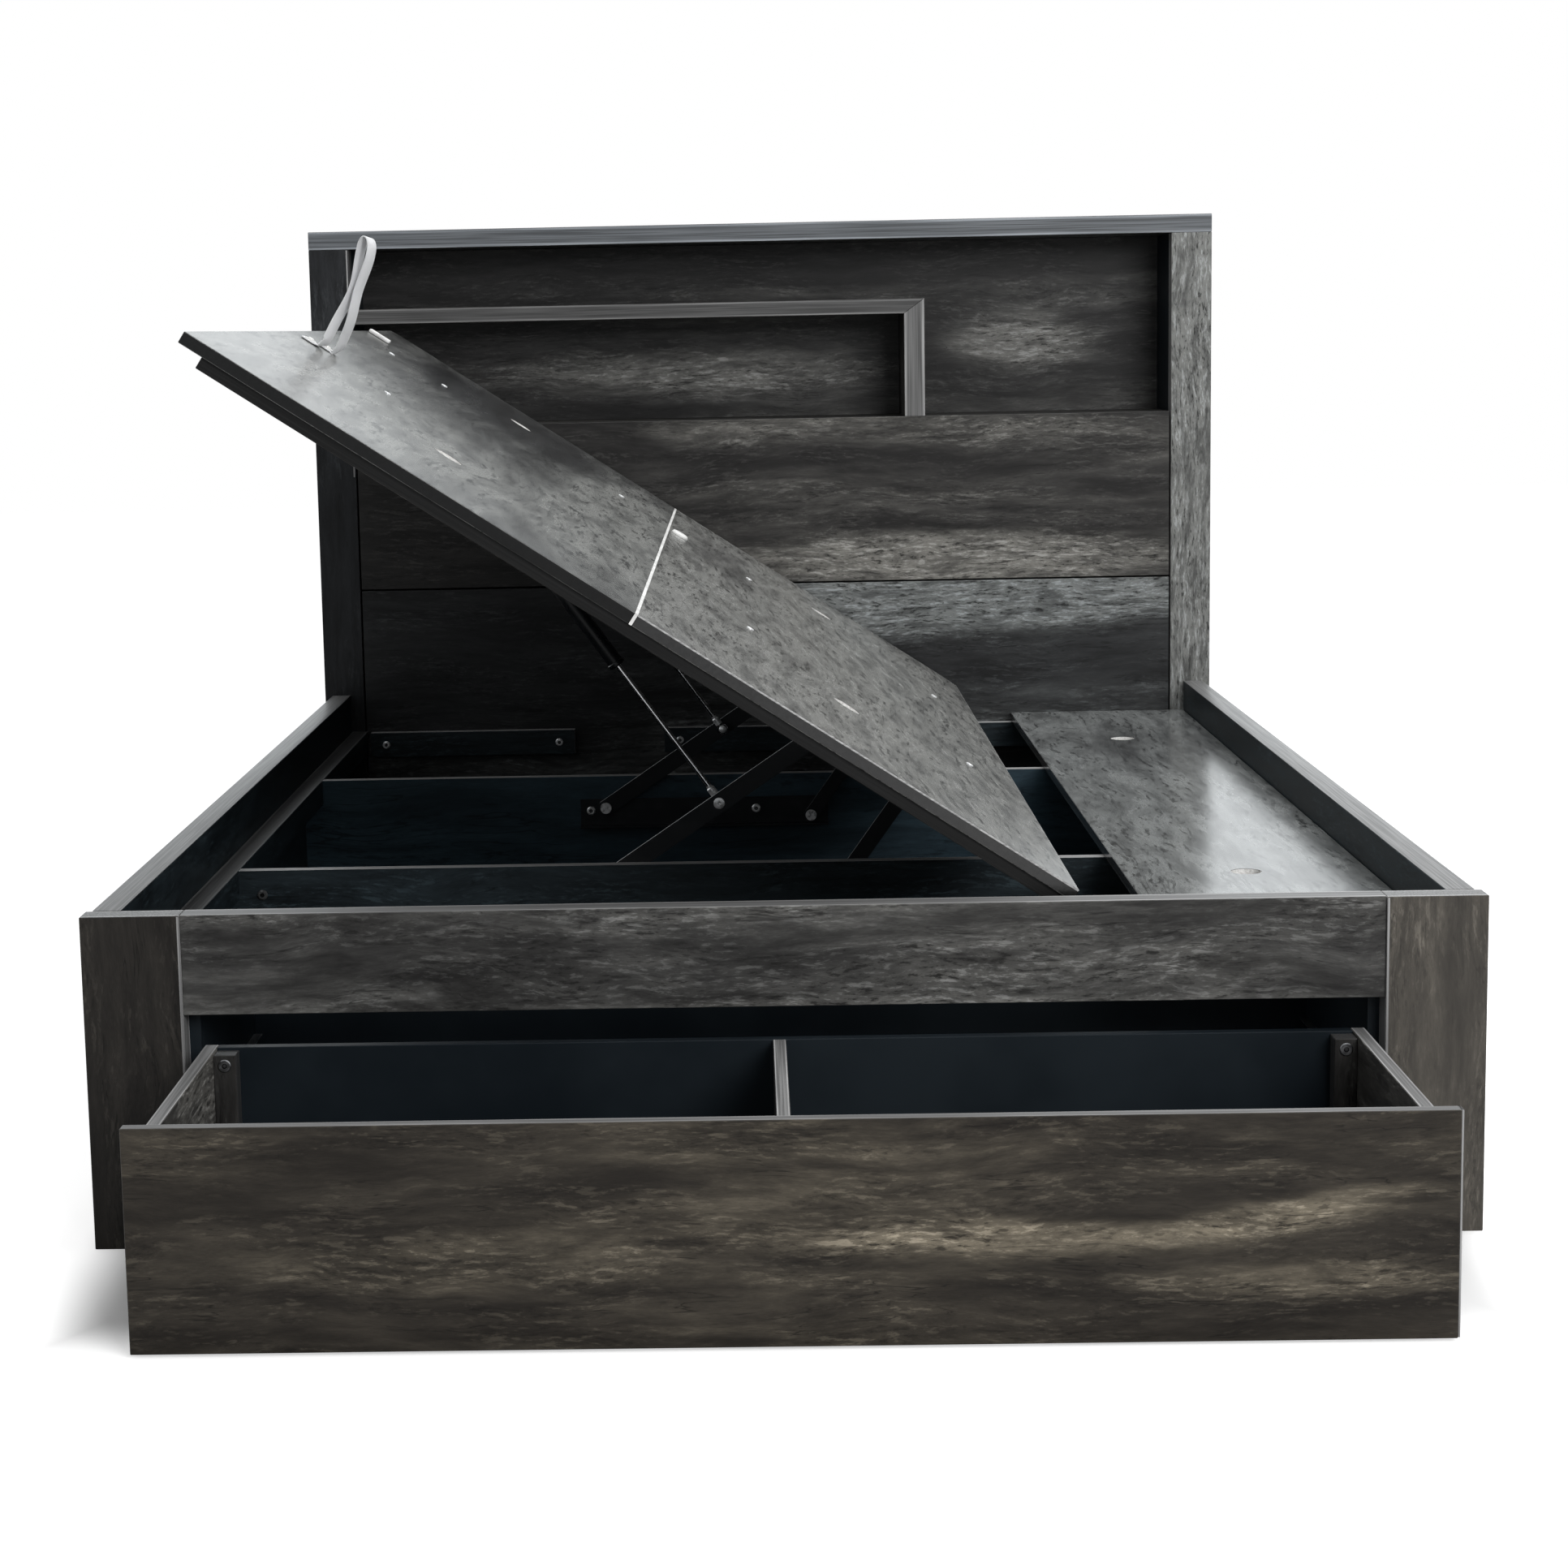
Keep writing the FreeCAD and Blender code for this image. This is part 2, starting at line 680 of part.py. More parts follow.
# Corner blocks inside the back of the drawer, with the cam fittings that lock them
def make_drawer_corners():
    inner = drawer_side_inner - s.corner_block
    front = drawer_back_inner - s.corner_block
    top = s.drawer_box_top - s.corner_block_drop
    block = board("corner_block", (inner, drawer_side_inner), (front, drawer_back_inner), (drawer_floor_top, top))
    group("drawer_corner_blocks", [block, mirrored("corner_block", block, across_bed)])
    cam = round_bolt("drawer_cam", s.cam_radius, s.cam_thickness, (inner + drawer_side_inner) * half, front,
                     top - s.cam_drop)
    group("drawer_cam_fittings", [cam, mirrored("drawer_cam", cam, across_bed)])


def runner_member(name, level, web_at, lips_at, start):
    """One channel of a drawer runner: a web, and lips bent towards the drawer or away from it."""
    half_tall = s.runner_height * half - (s.runner_sheet + s.runner_gap) * level
    bend = s.runner_sheet if lips_at.number > web_at.number else -s.runner_sheet
    inner = half_tall - s.runner_sheet
    points = [(web_at, -half_tall), (lips_at, -half_tall), (lips_at, -inner), (web_at + bend, -inner),
              (web_at + bend, inner), (lips_at, inner), (lips_at, half_tall), (web_at, half_tall)]
    body = new_body(name)
    sketch = sketch_on(body, "XZ_Plane")
    draw_outline(sketch, points)
    pad(body, sketch, s.runner_length, reverse=True)
    lie(body, y=start, z=s.runner_centre)
    return [body, mirrored(name, body, across_bed)]


# Full-extension runners: outer on the bay, middle half way out, inner on the drawer
def make_runners():
    travel = s.drawer_out + s.front_rail_setback
    home = rails_start + s.front_rail_setback
    half_way = home - travel * half
    sheet_step = s.runner_sheet + s.runner_gap
    middle_web = bay_side_inner - sheet_step
    outer_lip = drawer_side_outer + sheet_step
    middle_lip = outer_lip + s.runner_gap
    inner_lip = middle_web - sheet_step
    group("drawer_runner_outer", runner_member("drawer_runner_outer", 0, bay_side_inner, outer_lip, home))
    group("drawer_runner_middle", runner_member("drawer_runner_middle", 1, middle_web, middle_lip, half_way))
    group("drawer_runner_inner", runner_member("drawer_runner_inner", 2, drawer_side_outer, inner_lip, drawer_inside))


def on_lid(item):
    """Put a piece drawn flat, with its right-hand end at X 0 and its top at Z 0, on the raised lid."""
    lie(item, lid_end_x, zero, lid_end_z, about_y=s.lid_open_angle.number)


# Lid boards: two halves that meet at a pale strip, with round vents and two rounded corners
def make_lid_boards():
    depth = lid_rear - lid_front
    vent_front = foot_y + s.lid_vent_from_foot
    vent_rear = head_y - s.lid_vent_from_headboard
    for name, right, left, round_left in (("lid_board_right", zero, -lid_half, False),
                                          ("lid_board_left", -(lid_half + s.lid_joint_width), -s.lid_length, True)):
        body = new_body(name)
        blank = body.newObject("PartDesign::AdditiveBox", body.Name + "Board")
        bind(blank, "Length", right - left)
        bind(blank, "Width", depth)
        bind(blank, "Height", s.platform_board)
        lie(blank, left, lid_front, -s.platform_board)
        doc.recompute()
        corner = Vector((left if round_left else right).number, lid_rear.number, 0)
        names = ["Edge%d" % (place + 1) for place, edge in enumerate(blank.Shape.Edges)
                 if all(math.hypot(v.X - corner.x, v.Y - corner.y) < s.seat_gap.number for v in edge.Vertexes)]
        rounding = body.newObject("PartDesign::Fillet", body.Name + "Corner")
        rounding.Base = (blank, names)
        bind(rounding, "Radius", s.lid_corner_radius)
        doc.recompute()
        soften(body, rounding)
        sketch = sketch_on(body, "XY_Plane", title="Vents")
        middle = (left + right) * half
        draw_circle(sketch, middle, vent_front, s.vent_hole_radius)
        draw_circle(sketch, middle, vent_rear, s.vent_hole_radius)
        if not round_left:
            draw_circle(sketch, s.lid_joint_vent_from_joint - lid_half, head_y - s.lid_joint_vent_from_headboard,
                        s.lid_joint_vent_radius)
        pocket(body, sketch)
        on_lid(body)
        finish(name, body)
    joint_right = -lid_half
    finish("lid_joint_strip", board("lid_joint_strip", (joint_right - s.lid_joint_width, joint_right),
                                    (lid_front, lid_rear), (-s.platform_board, zero), rounded=False,
                                    frame=on_lid))


# Battens under the lid: two long ones, and short ones that stop clear of the cross boards
def make_lid_battens():
    level = (-(s.platform_board + s.lid_batten_thickness), -s.platform_board)
    right_end = -s.panel_end_gap
    left_end = -(s.lid_length - s.lid_batten_end_inset)
    front = lid_front + s.lid_batten_edge_gap
    rear = lid_rear - s.lid_batten_edge_gap
    inner_front = front + s.lid_batten_width
    inner_rear = rear - s.lid_batten_width
    group("lid_side_battens", [board("lid_side_batten", (left_end, right_end), span, level, frame=on_lid)
                               for span in ((front, inner_front), (inner_rear, rear))])
    clear = s.cross_board_clear
    spans = ((inner_front, front_cross_y - clear), (lift_face + clear, rear_cross_y - clear),
             (rear_cross_y + s.cross_board_thickness + clear, inner_rear))
    ends = ((right_end - s.lid_batten_width, right_end), (left_end, left_end + s.lid_batten_width))
    group("lid_end_battens", [board("lid_end_batten", end, span, level, frame=on_lid)
                              for end in ends for span in spans])


def lift_plate(name, outline, flange, holes, thickness, layer, frame):
    """A plate of the linkage in the plane across the bed: an outline, an optional flange, and pivot holes."""
    body = new_body(name)
    sketch = sketch_on(body, "XZ_Plane")
    outline(sketch)
    pad(body, sketch, thickness, reverse=True)
    if flange:
        lip = sketch_on(body, "XZ_Plane", title="Flange")
        draw_outline(lip, flange[0])
        pad(body, lip, flange[1], reverse=True, title="FlangePad")
    cuts = sketch_on(body, "XZ_Plane", title="Holes")
    for across, up, radius in holes:
        draw_circle(cuts, across, up, radius)
    pocket(body, cuts)
    frame(body, lift_face + layer)
    return body


def rectangle(left, right, low, high):
    return [(left, low), (right, low), (right, high), (left, high)]


# Base rails on the cross boards: folded plates with holes for the two pivots
def make_base_rails():
    low = s.link_base_height - s.base_rail_under
    high = low + s.base_rail_height
    left, right = -s.base_rail_left, s.base_rail_right
    holes = ((-s.arm_pivot_left, s.arm_pivot_height, s.pivot_radius),
             (s.link_base_right, s.link_base_height, s.pivot_radius))
    rail = lift_plate("lift_base_rail_front", lambda sketch: draw_outline(sketch, rectangle(left, right, low, high)),
                      (rectangle(left, right, low, low + s.plate_sheet), s.base_rail_flange),
                      holes, s.plate_sheet, zero, lambda body, y: lie(body, y=y))
    finish("lift_base_rail_front", rail)
    finish("lift_base_rail_rear", mirrored("lift_base_rail_rear", rail, along_bed, lift_middle))
    bolts = []
    middle = (low + high) * half
    for x in (-s.base_bolt_left, -s.base_bolt_middle):
        bolt = round_bolt("base_bolt", s.bolt_head_radius, s.bolt_head_height, x,
                          rear_cross_y - s.plate_sheet, middle + s.base_bolt_raise)
        bolts += [bolt, mirrored("base_bolt", bolt, along_bed, lift_middle)]
    group("lift_base_bolts", bolts)


def shoulder_pin(name, pin, start, shoulder_from, shoulder_to, held_to, x, z):
    """A pivot pin: a plain end in its plate, a shoulder, a bearing length, and a head beyond a running gap."""
    head_from = held_to + s.open_pivot_gap
    head_to = head_from + s.pivot_head_height
    shoulder_end = shoulder_to - s.open_pivot_gap
    profile = [(zero, start), (pin, start), (pin, shoulder_from), (s.pivot_shoulder, shoulder_from),
               (s.pivot_shoulder, shoulder_end), (pin, shoulder_end), (pin, head_from),
               (s.pivot_head_radius, head_from), (s.pivot_head_radius, head_to), (zero, head_to)]
    body = turned(name, profile, x, lift_face, z)
    return [body, mirrored(name, body, along_bed, lift_middle)]


# Pivot pins: those in the base rails, and those in the rails under the lid
def make_pivots():
    arm_pin = shoulder_pin("arm_base_pin", s.pivot_radius, zero, s.plate_sheet, arm_inner, arm_outer,
                           -s.arm_pivot_left, s.arm_pivot_height)
    link_pin = shoulder_pin("link_base_pin", s.pivot_radius, zero, s.plate_sheet, link_inner, link_outer,
                            s.link_base_right, s.link_base_height)
    group("lift_base_pivots", arm_pin + link_pin)
    lid_pin = shoulder_pin("arm_lid_pin", s.pivot_radius, lid_rail_inner, lid_rail_outer, arm_inner, arm_outer,
                           arm_tip_x, arm_tip_z)
    strut_pin = shoulder_pin("strut_lid_pin", s.strut_pivot_radius, lid_rail_inner, lid_rail_outer,
                             strut_eye_inner, strut_eye_outer, strut_high_x, strut_high_z)
    group("lid_pivots", lid_pin + strut_pin)


# Lifting arms: flat bars from the base rail to the lid
def make_arms():
    hole = s.pivot_radius + s.pivot_clearance
    run = arm_tip_x + s.arm_pivot_left
    rise = arm_tip_z - s.arm_pivot_height
    holes = ((zero, zero, hole), (s.arm_length, zero, hole), (s.strut_on_arm, zero, s.strut_pivot_radius))
    arm = lift_plate("lift_arm_front", lambda sketch: draw_bar(sketch, s.arm_length, s.arm_width * half), None,
                     holes, s.arm_thickness, arm_inner,
                     lambda body, y: tilt(body, -s.arm_pivot_left, y, s.arm_pivot_height, run, rise))
    finish("lift_arm_front", arm)
    finish("lift_arm_rear", mirrored("lift_arm_rear", arm, along_bed, lift_middle))


# Second links, each with the stud that meets the lid rail
def make_links():
    radius = s.link_width * half
    body = new_body("lift_link")
    sketch = sketch_on(body, "XZ_Plane")
    draw_bar(sketch, link_span, radius)
    pad(body, sketch, s.link_thickness, reverse=True)
    stud = sketch_on(body, "XZ_Plane", title="Stud")
    draw_circle(stud, link_span, zero, s.pivot_radius)
    pad(body, stud, link_inner - lid_rail_outer - s.open_pivot_gap, title="StudPad")
    cut = sketch_on(body, "XZ_Plane", title="Hole")
    draw_circle(cut, zero, zero, s.pivot_radius + s.pivot_clearance)
    pocket(body, cut)
    tilt(body, s.link_base_right, lift_face + link_inner, s.link_base_height,
         link_high_x - s.link_base_right, link_high_z - s.link_base_height)
    group("lift_links", [body, mirrored("lift_link", body, along_bed, lift_middle)])


# Rails under the lid: folded plates that carry the arm pin and the strut pin
def make_lid_rails():
    under = -s.platform_board
    left, right = -s.lid_rail_end, -s.lid_rail_start
    holes = ((-s.lid_pivot_back, -s.lid_pivot_drop, s.pivot_radius),
             (-s.strut_lid_back, -s.strut_lid_drop, s.strut_pivot_radius))
    rail = lift_plate("lid_rail_front",
                      lambda sketch: draw_outline(sketch, rectangle(left, right, under - s.lid_rail_leg, under)),
                      (rectangle(left, right, under - s.plate_sheet, under), s.lid_rail_flange),
                      holes, s.plate_sheet, lid_rail_inner,
                      lambda body, y: lie(body, lid_end_x, y, lid_end_z, about_y=s.lid_open_angle.number))
    finish("lid_rail_front", rail)
    finish("lid_rail_rear", mirrored("lid_rail_rear", rail, along_bed, lift_middle))
    screws = []
    along = (left + s.rail_screw_inset, (left + right) * half, right - s.rail_screw_inset)
    for x in along:
        screw = doc.addObject("Part::Cylinder", "RailScrew")
        bind(screw, "Radius", s.rail_screw_radius)
        bind(screw, "Height", s.rail_screw_height)
        drop = s.platform_board + s.plate_sheet + s.rail_screw_height
        lie(screw, on_lid_x(-x, drop), lift_face + lid_rail_inner + s.lid_rail_flange * half, on_lid_z(-x, drop),
            about_y=s.lid_open_angle.number)
        screws += [screw, mirrored("rail_screw", screw, along_bed, lift_middle)]
    group("lid_rail_screws", screws)


def along_strut(item, x, z, downwards):
    """Turn a piece so that its own Y axis points along the strut, and put its origin at (x, z)."""
    run = strut_high_x.number - strut_low_x.number
    rise = strut_high_z.number - strut_low_z.number
    way = -1 if downwards else 1
    towards_arm = Vector(0, -1, 0)
    turn = Rotation(Vector(), Vector(run * way, 0, rise * way), towards_arm, "YZX")
    item.Placement = Placement(Vector(), turn)
    y = lift_face + strut_layer
    for axis, size in (("x", x), ("y", y), ("z", z)):
        bind(item, "Placement.Base." + axis, size)


def strut_end(body, stud, hole=zero):
    """The flat eye at the end of a strut piece, with the pin that meets the arm, or with its pin hole."""
    eye = sketch_on(body, "XY_Plane", -s.strut_eye_thickness * half, title="Eye")
    draw_circle(eye, zero, zero, s.strut_eye_radius)
    pad(body, eye, s.strut_eye_thickness, title="EyePad")
    if stud:
        pin = sketch_on(body, "XY_Plane", s.strut_eye_thickness * half, title="Pin")
        draw_circle(pin, zero, zero, s.strut_pivot_radius)
        pad(body, pin, strut_eye_inner - arm_outer - s.open_pivot_gap, title="PinPad")
    else:
        cut = sketch_on(body, "XY_Plane", title="Hole")
        draw_circle(cut, zero, zero, hole)
        doc.recompute()
        bore = body.newObject("PartDesign::Pocket", body.Name + "Bore")
        bore.Profile = cut
        bore.Type = "ThroughAll"
        bore.SideType = "Two sides"
        bore.Type2 = "ThroughAll"


# Gas struts: a hollow tube with a gland, hung from the lid, and a rod with its piston, pinned to the arm
def make_struts():
    wall = s.strut_tube_radius - s.strut_tube_wall
    neck = s.strut_eye_neck
    tube_end = neck + s.strut_tube_length
    rod_hole = s.strut_rod_radius + s.pivot_clearance
    gland = tube_end - s.strut_gland_length
    tube = new_body("gas_strut_tube")
    sketch = sketch_on(tube, "XY_Plane")
    slope = s.strut_tube_wall
    draw_outline(sketch, [(zero, s.strut_eye_radius * half), (s.strut_rod_radius, s.strut_eye_radius * half),
                          (s.strut_rod_radius, neck), (s.strut_tube_radius - slope, neck),
                          (s.strut_tube_radius, neck + slope), (s.strut_tube_radius, tube_end - slope),
                          (s.strut_tube_radius - slope, tube_end), (rod_hole, tube_end), (rod_hole, gland),
                          (wall, gland), (wall, neck + s.strut_tube_wall), (zero, neck + s.strut_tube_wall)])
    turn = tube.newObject("PartDesign::Revolution", "TubeTurn")
    turn.Profile = sketch
    turn.ReferenceAxis = (sketch, ["V_Axis"])
    turn.Angle = 360
    strut_end(tube, False, s.strut_pivot_radius + s.pivot_clearance)
    along_strut(tube, strut_high_x, strut_high_z, True)
    rod = new_body("gas_strut_rod")
    sketch = sketch_on(rod, "XY_Plane")
    exposed = strut_span - tube_end
    tip = exposed + s.strut_gland_length + s.strut_rod_overlap
    piston = wall - s.strut_piston_gap
    draw_outline(sketch, [(zero, s.strut_eye_radius * half), (s.strut_rod_radius, s.strut_eye_radius * half),
                          (s.strut_rod_radius, tip - s.strut_piston_length),
                          (piston, tip - s.strut_piston_length), (piston, tip), (zero, tip)])
    turn = rod.newObject("PartDesign::Revolution", "RodTurn")
    turn.Profile = sketch
    turn.ReferenceAxis = (sketch, ["V_Axis"])
    turn.Angle = 360
    strut_end(rod, True)
    along_strut(rod, strut_low_x, strut_low_z, False)
    for name, item in (("gas_strut_tubes", tube), ("gas_strut_rods", rod)):
        group(name, [item, mirrored(name, item, along_bed, lift_middle)])


# Pull strap: a band of webbing folded into a loop, its two ends fixed on the lid near its free end
def make_strap():
    outer, tall, thick = s.strap_loop_radius, s.strap_height, s.strap_thickness
    inner = outer - thick
    spread = s.strap_foot_spread * half
    body = new_body("pull_strap")
    sketch = sketch_on(body, "YZ_Plane")
    rule = Sketcher.Constraint
    legs = {}
    for side in (1, -1):
        corners = [(outer * side, tall), (spread * side, zero), ((spread - thick) * side, zero), (inner * side, tall)]
        for place in range(len(corners) - 1):
            start, end = corners[place], corners[place + 1]
            line = Part.LineSegment(Vector(start[0].number, start[1].number, 0), Vector(end[0].number, end[1].number, 0))
            index = sketch.addGeometry(line)
            legs[side, place] = index
            pin_point(sketch, index, 1, *start)
            if place:
                sketch.addConstraint(rule("Coincident", index - 1, 2, index, 1))
        pin_point(sketch, index, 2, *corners[-1])
    for radius, place, end in ((outer, 0, 1), (inner, 2, 2)):
        circle = Part.Circle(Vector(0, tall.number, 0), Vector(0, 0, 1), radius.number)
        arc = sketch.addGeometry(Part.ArcOfCircle(circle, 0, math.pi))
        sketch.addConstraint(rule("Coincident", legs[1, place], end, arc, 1))
        sketch.addConstraint(rule("Coincident", legs[-1, place], end, arc, 2))
        number = sketch.addConstraint(rule("DistanceY", -1, 1, arc, 3, tall.number))
        bind(sketch, "Constraints[%d]" % number, tall)
    pad(body, sketch, s.strap_width)
    back, raised = s.lid_length - s.strap_from_end, -s.open_pivot_gap
    lie(body, on_lid_x(back, raised), foot_y + s.strap_from_foot, on_lid_z(back, raised),
        about_y=s.strap_lean_angle.number)
    finish("pull_strap", body)


for make in (make_rails, make_headboard, make_shelf, make_cleats, make_cross_boards, make_storage_floor,
             make_drawer_bay, make_fixed_panel, make_frame_bolts, make_drawer, make_drawer_corners, make_runners,
             make_lid_boards, make_lid_battens, make_base_rails, make_pivots, make_arms, make_links,
             make_lid_rails, make_struts, make_strap):
    make()
doc.recompute()

failed = [item.Label for item in doc.Objects if "Invalid" in item.State or "Error" in item.State]
if failed:
    raise RuntimeError("these objects failed: " + ", ".join(failed))
os.makedirs("parts", exist_ok=True)
for item in nodes:
    shape = item.Shape
    if shape.isNull() or not shape.isValid() or not shape.Solids:
        raise RuntimeError(item.Label + " has no valid solid")
    shape.exportStep("parts/%s.step" % item.Label)
print("%d sub-parts, %d solids" % (len(nodes), sum(len(item.Shape.Solids) for item in nodes)))
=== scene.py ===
# %% [markdown]
# # A storage bed with its lid raised and its drawer pulled out
# The bed is a box of dark weathered-oak boards. Its solids come ready made from the packed frame, so this
# lesson is about what makes them look real: the printed oak grain, the pale edge bands, the black steel of
# the lift, the woven pull strap, and all the small screws and linings that a maker would fit.

# %% Load the frame and keep its box
import math

import bpy
import bmesh
from mathutils import Matrix, Vector


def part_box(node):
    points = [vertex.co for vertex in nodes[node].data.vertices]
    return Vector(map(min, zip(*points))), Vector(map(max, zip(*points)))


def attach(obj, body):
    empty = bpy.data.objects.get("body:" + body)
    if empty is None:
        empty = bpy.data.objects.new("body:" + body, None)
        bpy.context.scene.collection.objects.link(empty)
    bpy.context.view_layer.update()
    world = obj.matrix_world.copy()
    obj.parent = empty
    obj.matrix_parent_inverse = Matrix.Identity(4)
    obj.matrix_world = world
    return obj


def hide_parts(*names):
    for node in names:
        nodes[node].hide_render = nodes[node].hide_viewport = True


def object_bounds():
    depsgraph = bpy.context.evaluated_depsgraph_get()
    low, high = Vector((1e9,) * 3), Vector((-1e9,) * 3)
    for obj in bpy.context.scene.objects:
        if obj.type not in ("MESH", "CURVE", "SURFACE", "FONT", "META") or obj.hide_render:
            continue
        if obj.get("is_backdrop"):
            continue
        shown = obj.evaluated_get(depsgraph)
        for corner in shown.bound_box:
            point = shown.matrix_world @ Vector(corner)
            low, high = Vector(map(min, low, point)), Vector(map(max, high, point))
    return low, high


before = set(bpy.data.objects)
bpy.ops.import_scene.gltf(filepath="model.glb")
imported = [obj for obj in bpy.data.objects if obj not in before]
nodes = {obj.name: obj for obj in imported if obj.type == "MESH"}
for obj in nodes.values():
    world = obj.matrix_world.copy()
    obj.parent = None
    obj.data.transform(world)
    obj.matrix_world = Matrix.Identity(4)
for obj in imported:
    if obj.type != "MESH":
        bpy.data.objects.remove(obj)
cad_low, cad_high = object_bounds()
print("frame loaded:", len(nodes), "nodes, box", [round(v, 3) for v in (*cad_low, *cad_high)])

# %% [markdown]
# ## The camera
# The photograph was taken from chest height, a little left of the middle, and tipped down by about eight
# degrees. A camera can be placed by eye, but then every corner is a little off. Here the place and the lens
# were found by matching the corners of the rails and the headboard. A small shift stands for the crop.

# %% Camera
IMAGE_SIZE = 1932
SENSOR = 36.0
FOCAL_PIXELS = 3583.8
CROP_PIXELS = (120.3, -44.0)
CAMERA_PLACE = Vector((-0.0323, -4.2190, 1.0534))
CAMERA_TURN = (0.0219, -0.1426, -0.0203)  # yaw, pitch, roll
VIEW_DEPTH = 60


def link(name, data):
    """A new object in the scene."""
    item = bpy.data.objects.new(name, data)
    bpy.context.scene.collection.objects.link(item)
    return item


def camera_axes(yaw, pitch, roll):
    """The camera's right, up and backward directions."""
    forward = Vector((-math.sin(yaw) * math.cos(pitch), math.cos(yaw) * math.cos(pitch), math.sin(pitch)))
    level = Vector((math.cos(yaw), math.sin(yaw), 0))
    above = level.cross(forward)
    right = level * math.cos(roll) + above * math.sin(roll)
    up = above * math.cos(roll) - level * math.sin(roll)
    return right, up, -forward


camera_data = bpy.data.cameras.new("photo_camera")
camera_data.sensor_width = SENSOR
camera_data.lens = FOCAL_PIXELS / IMAGE_SIZE * SENSOR
camera_data.shift_x, camera_data.shift_y = (pixels / IMAGE_SIZE for pixels in CROP_PIXELS)
camera_data.clip_end = VIEW_DEPTH
camera = link("photo_camera", camera_data)
turned_axes = Matrix(camera_axes(*CAMERA_TURN)).transposed().to_4x4()
camera.matrix_world = Matrix.Translation(CAMERA_PLACE) @ turned_axes
bpy.context.scene.camera = camera
print("camera lens", round(camera_data.lens, 2), "mm")

# %% [markdown]
# ## Short ways to write a material
# A material is a small graph of nodes. It could be drawn by hand in the shader editor, but dozens of boards
# need nearly the same one. To avoid pages of links, one helper class adds a node, feeds its sockets with
# numbers or with other nodes' results, and hands its output back.

# %% Material helper


class Finish:
    """A material's node graph, with short ways to add to it."""

    def __init__(self, name, tree=None):
        if tree is None:
            self.material = bpy.data.materials.new(name)
            self.material.use_nodes = True
            tree = self.material.node_tree
            self.shader = tree.nodes["Principled BSDF"]
        self.tree = tree

    def feed(self, socket, value):
        """Link another node's result to a socket, or set the socket's own number."""
        if isinstance(value, bpy.types.NodeSocket):
            self.tree.links.new(value, socket)
        elif value is not None:
            socket.default_value = value

    def node(self, kind, settings=(), **sockets):
        """Add a node; its sockets are named with _ for a space."""
        node = self.tree.nodes.new("ShaderNode" + kind)
        for key, value in dict(settings).items():
            setattr(node, key, value)
        for key, value in sockets.items():
            self.feed(node.inputs[key.replace("_", " ")], value)
        return node

    def add(self, kind, settings=(), **sockets):
        """Add a node and hand back its first output."""
        return self.node(kind, settings, **sockets).outputs[0]

    def place(self, output="Object"):
        """The surface's own place, or another of the texture coordinates."""
        return self.node("TexCoord").outputs[output]

    def part(self, vector, axis):
        """One of a vector's three numbers."""
        return self.node("SeparateXYZ", Vector=vector).outputs[axis]

    def math(self, operation, first, second=None, third=None):
        node = self.node("Math", {"operation": operation})
        for socket, value in zip(node.inputs, (first, second, third)):
            self.feed(socket, value)
        return node.outputs[0]

    def times(self, first, second):
        return self.math("MULTIPLY", first, second)

    def clamp(self, value):
        return self.add("Clamp", Value=value)

    def scaled(self, vector, scale, place=(0, 0, 0)):
        return self.add("Mapping", Vector=vector, Scale=scale, Location=place)

    def noise(self, vector, scale, detail=3.0, rough=0.5):
        return self.add("TexNoise", Vector=vector, Scale=scale, Detail=detail, Roughness=rough)

    def step(self, value, low, high, to_low=0.0, to_high=1.0):
        """A smooth rise from to_low to to_high while value goes from low to high."""
        node = self.node("MapRange", {"interpolation_type": "SMOOTHSTEP"})
        for socket, number in zip(node.inputs[:5], (value, low, high, to_low, to_high)):
            self.feed(socket, number)
        return node.outputs[0]

    def bend(self, vector, scale, reach):
        """Push a vector about by soft noise, so that lines drawn with it wave."""
        push = self.node("TexNoise", Vector=self.scaled(vector, scale), Scale=1.0, Detail=2.0).outputs["Color"]
        node = self.node("VectorMath", {"operation": "MULTIPLY_ADD"})
        for socket, value in zip(node.inputs, (push, reach, vector)):
            self.feed(socket, value)
        return node.outputs[0]

    def thread(self, value, level, width):
        """A thin line where value passes level."""
        return self.step(self.math("ABSOLUTE", self.math("SUBTRACT", value, level)), 0.0, width, 1.0, 0.0)

    def mix(self, share, first, second, blend="MIX"):
        """A colour between two others; plain colours are written with three numbers."""
        node = self.node("Mix", {"data_type": "RGBA", "blend_type": blend})
        for place, value in ((0, share), (6, first), (7, second)):
            if isinstance(value, tuple) and len(value) == 3:
                value = (*value, 1.0)
            self.feed(node.inputs[place], value)
        return node.outputs[2]

    def grey(self, level, tint=(1, 1, 1)):
        """A colour from one number, tinted if a tint is given."""
        parts = [level if share == 1 else self.times(level, share) for share in tint]
        return self.add("CombineColor", Red=parts[0], Green=parts[1], Blue=parts[2])

    def shade(self, colour, level):
        """A colour made darker or lighter by a number."""
        return self.mix(1.0, colour, self.grey(level), "MULTIPLY")

    def bump(self, height, strength, distance):
        return self.add("Bump", Height=height, Strength=strength, Distance=distance)

    def surface(self, colour, roughness, normal=None, **fixed):
        """Feed the shader; fixed sockets get plain numbers."""
        for name, value in (("Base Color", colour), ("Roughness", roughness), ("Normal", normal)):
            self.feed(self.shader.inputs[name], value)
        for name, value in fixed.items():
            self.shader.inputs[name.replace("_", " ")].default_value = value
        return self.material


print("short ways to add nodes:", sum(callable(item) for item in vars(Finish).values()))

